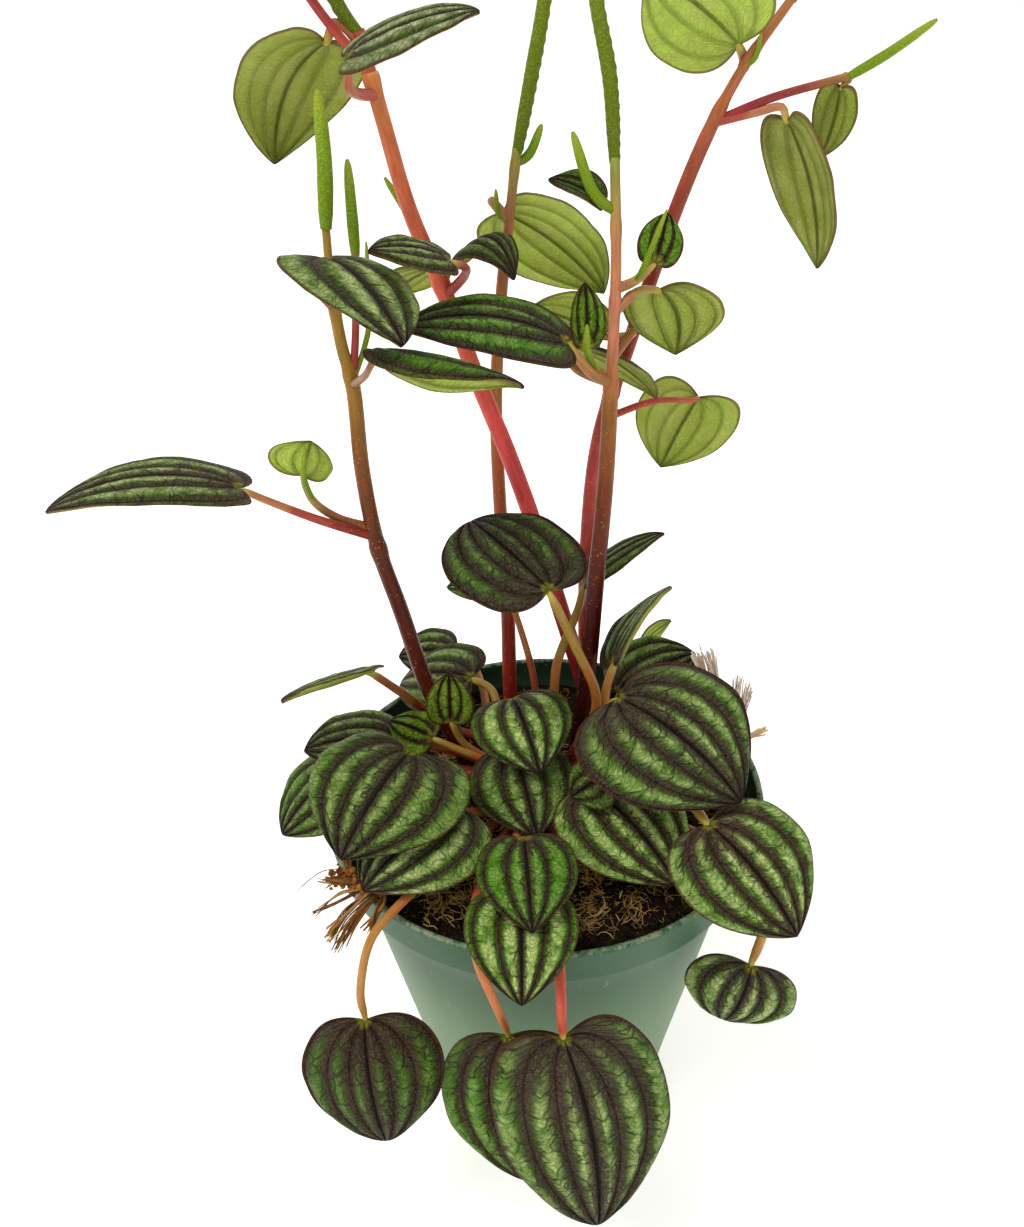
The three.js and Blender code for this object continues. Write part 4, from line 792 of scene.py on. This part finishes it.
def leaf(name, row, number):
    width, look = row[2], row[5][:3]
    warm = row[5][3] if len(row[5]) > 3 else USUAL_WARMTH
    flat, smooth, ex, _, ez = leaf_shape(row)
    _, usual_veins, rows = next(size for size in LEAF_SIZES if width >= size[0])
    veins = row[4].get("veins", usual_veins)
    per_panel = 8 if width >= 20 else 6
    right_side = [*np.arange(1, veins * per_panel - 0.5) / per_panel, veins]
    columns = len(right_side)
    signed = np.array([*(-q for q in reversed(right_side)), 0, *right_side])
    v = np.abs(signed)
    s = np.sign(signed) * (v / veins) ** (1 / 0.9)
    t = np.linspace(0, 1, rows + 2)
    S, T = np.meshgrid(s, t)
    V = np.broadcast_to(v, S.shape)
    step = 0.015
    across = smooth(np.clip(S + step, -1, 1), T) - smooth(np.clip(S - step, -1, 1), T)
    lengthwise = smooth(S, np.clip(T + step, 0, 1)) - smooth(S, np.clip(T - step, 0, 1))
    across[0] = across[-1] = ex
    normal = np.cross(across, lengthwise)
    normal /= np.linalg.norm(normal, axis=-1)[..., None] + 1e-12
    normal *= np.where(np.einsum("ijk,k->ij", normal, ez) < 0, -1, 1)[..., None]
    body = np.sqrt(np.sin(np.pi * np.clip(T, 0, 1)))
    draw = seeded(number * 7 + 3)
    phases = 2 * np.pi * draw.random(4)
    slow = np.sin(2 * np.pi * 2.3 * T + phases[0] + np.sign(S))
    waves = (slow + np.sin(2 * np.pi * 4.1 * T + phases[1])) / 2
    puff = np.abs(np.sin(np.pi * V)) ** 0.65
    x_mm, y_mm = flat(S, T)
    seedling = number * 17.3
    lumps = np.array([[noise.noise(Vector((a * 0.42, b * 0.42, seedling))) for a, b in zip(ra, rb)]
                      for ra, rb in zip(x_mm, y_mm)])
    lift = (PANEL_BULGE * width * puff * body + MARGIN_WAVE * width * np.abs(S) ** 4 * waves * body
            + PANEL_LUMPS * width * lumps * puff * body)
    middle = smooth(S, T) + normal * lift[..., None]
    thick = BLADE * (0.5 - 0.27 * np.abs(S) ** 8) * (0.75 + 0.25 * body)
    top, bottom = middle + normal * thick[..., None], middle - normal * thick[..., None]
    pitch = np.linalg.norm(np.gradient(smooth(S, T), axis=1), axis=-1)
    pitch /= np.gradient(signed)[None, :]
    off_vein = np.abs(V - np.round(V)) * pitch
    margin = np.abs(np.abs(S) - 1) * 0.5 * width * np.sin(np.pi * T)
    fields = dict(
        flat=np.stack([x_mm, y_mm, np.full(S.shape, seedling)], -1),
        vein=np.stack([V, pitch, T], -1),
        lane=np.stack([V * 4.2, y_mm - 0.35 * off_vein, seedling + 31 * np.sign(S)], -1),
        edge=np.stack([margin, np.full(S.shape, float(width)), 1 - np.abs(S)], -1),
        look=np.broadcast_to(np.array(look, float), (*S.shape, 3)),
        tone=np.broadcast_to(np.array((warm, 0, 0), float), (*S.shape, 3)),
    )
    n = len(s)
    out = smooth(np.sign(S) * 1.0, T) - smooth(np.sign(S) * 0.97, T)
    out /= np.linalg.norm(out, axis=-1)[..., None] + 1e-12
    rim = middle + out * RIM_ROUNDING
    inner = slice(1, rows + 1)
    grid_top = 4
    grid_bottom = grid_top + rows * n
    rim_left = grid_bottom + rows * n
    rim_right = rim_left + rows

    def gather(over, under, left, right):
        """The two poles of both faces, then the upper face, the lower face and the two rims."""
        return np.concatenate([
            [over[0, columns], under[0, columns], over[-1, columns], under[-1, columns]],
            over[inner].reshape(-1, 3), under[inner].reshape(-1, 3), left[inner], right[inner]])

    cloud = gather(top, bottom, rim[:, 0], rim[:, -1])
    packed = {key: gather(f, f, f[:, 0], f[:, -1]) for key, f in fields.items()}
    faces, slots = [], []

    def face(slot, *corners):
        faces.append(corners)
        slots.append(slot)

    def upper(r, c):
        return grid_top + r * n + c

    def lower(r, c):
        return grid_bottom + r * n + c

    for c in range(n - 1):
        d = c + 1
        face(0, 0, upper(0, d), upper(0, c))
        face(1, 1, lower(0, c), lower(0, d))
        face(0, upper(rows - 1, c), upper(rows - 1, d), 2)
        face(1, lower(rows - 1, d), lower(rows - 1, c), 3)
        for r in range(rows - 1):
            face(0, upper(r, c), upper(r, d), upper(r + 1, d), upper(r + 1, c))
            face(1, lower(r, c), lower(r + 1, c), lower(r + 1, d), lower(r, d))
    for base, column, turn in ((rim_left, 0, 1), (rim_right, n - 1, -1)):
        for r in range(rows - 1):
            face(0, *(upper(r, column), upper(r + 1, column), base + r + 1, base + r)[::turn])
            face(1, *(base + r, base + r + 1, lower(r + 1, column), lower(r, column))[::turn])
        for r, pole in ((0, 0), (rows - 1, 2)):
            face(0, *(pole, upper(r, column), base + r)[::turn])
            face(0, *(pole, base + r, pole + 1)[::turn])
            face(1, *(pole + 1, base + r, lower(r, column))[::turn])
            turn = -turn
    whole = Body()
    whole.add(cloud, faces, slots, **packed)
    return whole.piece(f"{name}_blade", [LEAF_TOP, LEAF_UNDER], name)


for number, (name, row) in enumerate(LEAVES.items()):
    leaf(name, row, number)


# ---- petioles, crown and stems
def petiole(body, row, slot, seed):
    name, radius, way, hues = *row[:3], row[3].split()
    joint = np.array(LEAVES[name][0], float)
    back = np.array(way[-1], float) - joint
    back /= np.linalg.norm(back)
    _, _, _, ey, ez = leaf_shape(LEAVES[name])
    end = joint - ez * 0.15 + ey * 0.5
    path = [*way, tuple(joint + back * 1.2 - ez * 0.1), tuple(end)]

    def size(u):
        return radius * (1.1 - 0.35 * u) * (1 - 0.4 * max(0, (u - 0.94) / 0.06))

    stops = max(6, int(curve_points(path)[1] / COLLAR))
    shades = [hues[min(len(hues) - 1, i * len(hues) // stops)] for i in range(stops)]
    tube(body, path, size, 12, 0.9, [*shades, "#b3a048", "#b8ae50"], slot, seed, (0.2, 0.3))


crown_body = Body()
knobs = seeded(5)
knob_phase = 2 * np.pi * knobs.random(6)
crown_tint = np.array(rgb("#6b3a26"))
lathe(
    crown_body,
    [(0, STEM_FOOT), (CROWN_RADIUS, STEM_FOOT), (CROWN_RADIUS, 76), (CROWN_RADIUS, 80),
     (CROWN_RADIUS - 0.2, 82), (CROWN_RADIUS - 0.7, 83.5), (CROWN_RADIUS - 1.6, 85),
     (CROWN_RADIUS - 3, CROWN_TOP - 0.8), (1.2, CROWN_TOP - 0.2), (0, CROWN_TOP)],
    48, 0, CROWN_CENTRE,
    lambda turn, z: (0.05 * np.sin(5 * turn + knob_phase[0] + z * 0.4)
                     + 0.03 * np.sin(11 * turn + knob_phase[1] - z * 0.7)),
    tint=crown_tint, grain=(0, 0, 0))
for i, row in enumerate(BASAL_PETIOLES):
    petiole(crown_body, row, 0, i)
crown_body.piece("crown_and_petioles_skin", [PETIOLE_SKIN], "crown_and_petioles")

LIME = "#7f9c1e #809f1c #8bab24 #aebb3c".split()
OLD_LIME = "#6a7c16 #6f841a #788f20 #93a434".split()


def spike(body, radius, way, old, slot, seed):
    def size(u):
        return radius * between(SPIKE_SHAPE, u)

    def beads(run, turn, r, ring):
        swell = np.cos(4.5 * turn + (ring % 2) * np.pi) * np.cos(run * 4.2)
        return r * 0.07 * swell

    step = 0.45 if old else 0.8
    tube(body, way, size, 18 if old else 14, step, OLD_LIME if old else LIME, slot, seed, (0.3, 0.3),
         beads if old else None)


def flowering_stem(name, stem, number):
    body = Body()
    foot = np.array(stem["way"][0], float)
    _, length = curve_points(stem["way"])
    low, high = stem["radii"][0][1], stem["radii"][-1][1]
    half = NODE_LENGTH / length

    def size(u):
        near = [math.exp(-(((u - node) / (0.55 * half)) ** 2)) for node in stem["nodes"]]
        ring = [math.exp(-(((u - node - 0.25 * half) / (0.12 * half)) ** 2)) for node in stem["nodes"]]
        return between(stem["radii"], u) * (1 + NODE_SWELL * max(near) + 0.06 * max(ring))

    hues = stem["hues"].split()
    tube(body, stem["way"], size, 20, 1.0, hues, 0, number, (0.2, 0.3))
    lathe(body, [(0, STEM_FOOT), (low + 0.2, STEM_FOOT), (low + 0.25, foot[2] - 2),
                 (low + 0.1, foot[2] + 0.6), (0, foot[2] + 1.3)],
          16, 0, foot[:2], tint=rgb(hues[0]), grain=(0, 0, number * 5))
    shades = stem["limb_hues"].split() if "limb_hues" in stem else [*hues[-2:], "#a9904c"]
    for i, way in enumerate(stem["limbs"]):
        share = stem.get("limb_shares", (1, 1))[min(i, 1)]
        tube(body, way, lambda u: high * share * (1.0 - 0.1 * u), 16, 1.0, shades,
             0, number + 0.3 + i, (0.2, 0.2))
    for i, row in enumerate(stem["petioles"]):
        petiole(body, row, 1, number * 9 + i + 30)
    for i, (radius, way) in enumerate(stem["spikes"]):
        spike(body, radius, way, i in stem["older"], 2, number * 11 + i)
    body.piece(f"{name}_skin", [STEM_SKIN, PETIOLE_SKIN, SPIKE_SKIN], name)


for number, (name, stem) in enumerate(STEMS.items(), 1):
    flowering_stem(name, stem, number)


# ---- pot
def arc(centre, radius, start, end, count):
    turns = np.radians(np.linspace(start, end, count))
    return [(centre[0] + radius * math.cos(a), centre[1] + radius * math.sin(a)) for a in turns]


band_foot = POT_HEIGHT - BAND_HEIGHT
lip = 0.75
# Up the outside from the middle of the base, over the lip and down the inside to the floor.
profile = [
    (0, 0), (FOOT_RADIUS - 1, 0), *arc((FOOT_RADIUS - 1, 1), 1, -60, -8, 4),
    *[(FOOT_RADIUS + (WALL_TOP_RADIUS - FOOT_RADIUS) * i / 8, 1.5 + (band_foot - 3) * i / 8)
      for i in range(1, 8)],
    (WALL_TOP_RADIUS, band_foot - 1.4), (WALL_TOP_RADIUS + 0.5, band_foot - 0.8),
    (BAND_FOOT_RADIUS - 0.7, band_foot - 0.25), (BAND_FOOT_RADIUS - 0.1, band_foot + 0.1),
    (BAND_FOOT_RADIUS + 0.05, band_foot + 0.8),
    (RIM_RADIUS - 0.35, POT_HEIGHT - 2.6), *arc((RIM_RADIUS - lip, POT_HEIGHT - lip), lip, -20, 180, 10),
    (RIM_RADIUS - 1.75, POT_HEIGHT - 2.4), (BAND_FOOT_RADIUS - 1.6, band_foot + 1),
    (WALL_TOP_RADIUS - 1.6, band_foot - 0.5), (FOOT_RADIUS - WALL, FLOOR), (0, FLOOR),
]
pot_body = Body()
POT_SEGMENTS = 144
lathe(pot_body, profile, POT_SEGMENTS)
pot = pot_body.piece("pot_shell", [PLASTIC], "pot")
drills = Body()
for i in range(DRAIN_HOLES):
    a = math.pi / 4 + i * 2 * math.pi / DRAIN_HOLES
    lathe(drills, [(0, -3), (DRAIN_HOLE_RADIUS, -3), (DRAIN_HOLE_RADIUS, 5), (0, 5)], 32, 0,
          (DRAIN_RING_RADIUS * math.cos(a), DRAIN_RING_RADIUS * math.sin(a)))
cutter_mesh = bpy.data.meshes.new("drain_cutter")
cutter_mesh.from_pydata((np.concatenate(drills.points) * MM).tolist(), [], drills.faces)
cutter = placed("drain_cutter", cutter_mesh)
cut = pot.modifiers.new("drain", "BOOLEAN")
cut.object, cut.solver = cutter, "EXACT"
bpy.context.view_layer.update()
drilled = bpy.data.meshes.new_from_object(pot.evaluated_get(bpy.context.evaluated_depsgraph_get()))
pot.modifiers.clear()
pot.data = drilled
bpy.data.objects.remove(cutter)


# ---- soil
draw = seeded(21)


# How fine the soil's lumps are, their seed and their height.
SOIL_LUMPS = [(0.055, 3.7, 1.1), (0.22, 9.1, 1.0), (0.7, 5.3, 0.7)]


def soil_top(x, y):
    lumps = (height * noise.noise(Vector((x * fine, y * fine, seed))) for fine, seed, height in SOIL_LUMPS)
    return sum(lumps, SOIL_MIDDLE + SOIL_SLOPE * y)


soil = Body()
PEAT = "#2b1b12"
edge_radius = BAND_FOOT_RADIUS - 1.6 - 0.35
segments, circles = 200, 52
turn = 2 * np.pi * np.arange(segments) / segments
points = [(0, 0, soil_top(0, 0))]
for i in range(1, circles + 1):
    r = edge_radius * i / circles
    ring = [(r * math.cos(a), r * math.sin(a)) for a in turn]
    points.extend((x, y, soil_top(x, y)) for x, y in ring)
wall_rows = [(BAND_FOOT_RADIUS - 2.3, band_foot + 1.6), (WALL_TOP_RADIUS - 2.3, band_foot - 0.2),
             (FOOT_RADIUS - 2.1, FLOOR + 0.3)]
for r, z in wall_rows:
    points.extend((r * math.cos(a), r * math.sin(a), z) for a in turn)
points.append((0, 0, FLOOR + 0.3))
soil.add(points, shell_faces(circles + len(wall_rows), segments, inward=True), 0, tint=rgb(PEAT))


def blob(body, centre, size, slot, tint, draw, grained=False):
    """A small lumpy grain, a little flat."""
    rings, sides, squash = 4, 8, 0.8
    pts = [(0, 0, -1.0)]
    for i in range(1, rings + 1):
        lat = -math.pi / 2 + math.pi * i / (rings + 1)
        for j in range(sides):
            lon = 2 * math.pi * j / sides
            pts.append((math.cos(lat) * math.cos(lon), math.cos(lat) * math.sin(lon), math.sin(lat)))
    pts.append((0, 0, 1.0))
    pts = np.array(pts) * (0.75 + 0.5 * draw.random((len(pts), 1))) * size * np.array([1, 1, squash])
    spin = Matrix.Rotation(6.28 * draw.random(), 3, Vector(draw.normal(size=3)).normalized())
    pts = pts @ np.array(spin) + np.array(centre)
    extra = {"grain": (0.0, 0.0, 0.0)} if grained else {}
    body.add(pts, shell_faces(rings, sides), slot, tint=tint, **extra)


SOIL_CRUMBS = 900
for _ in range(SOIL_CRUMBS):
    r = edge_radius * 0.97 * math.sqrt(draw.random())
    a = 2 * math.pi * draw.random()
    x, y = r * math.cos(a), r * math.sin(a)
    size = 0.35 + 0.9 * draw.random() ** 2
    blob(soil, (x, y, soil_top(x, y) + size * 0.2), size, 0, rgb(PEAT), draw)
soil.piece("potting_soil_crumbs", [SOIL], "potting_soil")

litter = Body()
STRAW = "#c89848 #e4bc64 #f6dc9c #7c5624 #a07434 #5e4220 #8a6230".split()
THREADS = 1900
TANGLES = 26
TANGLE_SHARE = 0.7
TANGLE_SPREAD = 3.0
THREAD_LOFT = 1.8
OPEN_SOIL = [(-20.8, -32.7), (-17, -27.1), (-24.5, -31.1), (7.6, -33.9), (19.2, -34.4), (11.5, -23.9)]
tangles = edge_radius * 0.88 * np.sqrt(draw.random(TANGLES))[:, None]
bearing = 2 * np.pi * draw.random(TANGLES)
tangles = tangles * np.stack([np.cos(bearing), np.sin(bearing)], 1)
tangles[:len(OPEN_SOIL)] = OPEN_SOIL
for i in range(THREADS):
    if draw.random() < TANGLE_SHARE:
        x, y = pick(draw, tangles) + draw.normal(size=2) * TANGLE_SPREAD
    else:
        r, a = edge_radius * 0.93 * math.sqrt(draw.random()), 2 * math.pi * draw.random()
        x, y = r * math.cos(a), r * math.sin(a)
    heading = 2 * math.pi * draw.random()
    span = 1.5 + 5.5 * draw.random() ** 1.5
    curl = draw.normal() * 1.6
    loft = THREAD_LOFT * draw.random() ** 2
    way = []
    for step in np.linspace(-0.5, 0.5, 4):
        px = x + span * step * math.cos(heading + curl * step)
        py = y + span * step * math.sin(heading + curl * step)
        out = math.hypot(px, py)
        if out > edge_radius * 0.96:
            px, py = px * edge_radius * 0.96 / out, py * edge_radius * 0.96 / out
        way.append((px, py, soil_top(px, py) + 0.15 + loft * (0.5 + step) + 0.3 * draw.random()))
    colour = pick(draw, STRAW)
    thin = 0.05 + 0.15 * draw.random() ** 3
    tube(litter, way, lambda u: thin * (1 - 0.5 * u), 5, 1.1, [colour, colour], 0, i, (0.5, 0.5))
litter.piece("soil_coir_threads", [STRAWS], None, replaces=False)

# ---- husk and root tuft
husk = Body()
draw = seeded(33)


def spread(way, amount, draw):
    """The same way, shaken sideways, more towards its end."""
    shaken = []
    for i, p in enumerate(way):
        share = amount * (0.35 + i / (len(way) - 1))
        shaken.append(tuple(np.array(p, float) + draw.normal(size=3) * share))
    return shaken


CORE_TONES = "#6a4020 #80522c #5f381c".split()
tube(husk, HUSK_CORE, lambda u: 1.2 * (1 - 0.4 * abs(u - 0.4)), 14, 0.5, CORE_TONES, 0, 1, (0.3, 0.3),
     lambda run, turn, r, ring: 0.3 * r * np.sin(3 * turn + run * 1.7) * np.sin(run * 2.9 + turn))
HUSK_TONES = "#3a2312 #7a4a20 #a87036 #c8a06a #4f2e16".split()
CRUMB_TONES = "#8a5424 #b5712f #9a5a24 #c88a48".split()
for strands, way in HUSK_FIBRES:
    for i in range(strands):
        tone = pick(draw, HUSK_TONES)
        thin = 0.16 + 0.34 * draw.random() ** 2 if strands > 2 else 0.1
        shaken = spread(way, 0.55, draw)
        tube(husk, shaken, lambda u: thin * (1 - 0.5 * u), 6, 0.9, [tone, tone], 0, i, (0.5, 0.5))
HUSK_CRUMBS = 130
for _ in range(HUSK_CRUMBS):
    share = draw.random()
    x, y, z = np.array([np.interp(share, np.linspace(0, 1, 4), [p[k] for p in HUSK_CORE]) for k in range(3)])
    off = draw.normal(size=3) * (1.3, 1.3, 0.8)
    size = 0.25 + 0.55 * draw.random()
    blob(husk, (x + off[0], y + off[1], max(z + off[2] + 0.5, POT_HEIGHT + 1.1)), size, 0,
         rgb(pick(draw, CRUMB_TONES)), draw, grained=True)
husk.piece("coir_husk_strands", [COIR], "coir_husk")

tuft = Body()
draw = seeded(41)
lathe(tuft, [(0, 78.7), (1.5, 78.7), (1.6, 81), (1.1, 83), (0, 84)], 20, 0, TUFT_FOOT,
      tint=rgb("#7a5a42"), grain=(0, 0, 0))
ROOT_TONES = "#f0e6de #d8c4b8 #b89c8e #e8dace".split()
STRANDS_PER_ROOT = 26
for way in TUFT_ROOTS:
    golden = way is TUFT_ROOTS[-1]
    for i in range(STRANDS_PER_ROOT):
        tone = pick(draw, STRAW[:3] if golden else ROOT_TONES)
        thin = 0.15 + 0.17 * draw.random()
        shaken = spread(way, 0.35 if golden else 0.62, draw)
        shaken[0] = way[0]
        tube(tuft, shaken, lambda u: thin * (1 - 0.4 * u), 6, 1.2, ["#b89c8c", tone, tone], 0, i, (0.5, 0.5))
tuft.piece("root_fibre_tuft_strands", [ROOT], "root_fibre_tuft")

# ---- stage, light and camera
floor_mesh = bpy.data.meshes.new("floor")
REACH, DROP = 6.0, 0.0005
corners = [(x * REACH, y * REACH, -DROP) for x, y in ((-1, -1), (1, -1), (1, 1), (-1, 1))]
floor_mesh.from_pydata(corners, [], [(0, 1, 2, 3)])
floor = placed("floor", floor_mesh)
paper = Material("floor_paper", Roughness=0.9, Specular_IOR_Level=0.1, Emission_Strength=0.5)
paper.shader.inputs["Emission Color"].default_value = (1, 1, 1, 1)
cloud = paper.noise(paper.place(), 2.0).ramp(0.2, 0.8)
floor.data.materials.append(paper.finish(paper.mix(cloud, "#f7f7f7", "#fbfbfb")))

world = bpy.data.worlds.new("studio")
bpy.context.scene.world = world
world.use_nodes = True
backdrop = world.node_tree.nodes["Background"].inputs
backdrop["Color"].default_value = (1, 0.975, 0.93, 1)
backdrop["Strength"].default_value = 0.6


def softbox(name, place, aim, size, power):
    light = bpy.data.lights.new(name, "AREA")
    light.energy, light.size, light.color = power, size, (1, 0.95, 0.86)
    obj = placed(name, light)
    obj.location = place
    obj.rotation_mode = "QUATERNION"
    obj.rotation_quaternion = (Vector(aim) - Vector(place)).to_track_quat("-Z", "Y")


softbox("key", (-0.5, -0.35, 1.35), (0, 0, 0.1), 0.6, 9)
softbox("rim", (0.6, 0.9, 1.0), (0, 0, 0.12), 0.9, 2.5)

CAMERA_PLACE = (-6.0, -211.8, 275.8)
CAMERA_PITCH = math.radians(33.70)
CAMERA_ROLL = math.radians(-1.82)
SENSOR_WIDTH = 36
FOCAL_LENGTH = 35.21
camera = bpy.data.cameras.new("camera")
camera.sensor_width, camera.lens, camera.clip_start = SENSOR_WIDTH, FOCAL_LENGTH, 0.01
camera_object = placed("camera", camera)
d = Vector((0, math.cos(CAMERA_PITCH), -math.sin(CAMERA_PITCH)))
up = Vector((0, math.sin(CAMERA_PITCH), math.cos(CAMERA_PITCH)))
right = Vector((1, 0, 0))
c, s = math.cos(CAMERA_ROLL), math.sin(CAMERA_ROLL)
right, up = right * c + up * s, up * c - right * s
turned = Matrix((right, up, -d)).transposed().to_4x4()
camera_object.matrix_world = Matrix.Translation(Vector(CAMERA_PLACE) * MM) @ turned
bpy.context.scene.camera = camera_object
bpy.context.scene.view_settings.view_transform = "Standard"
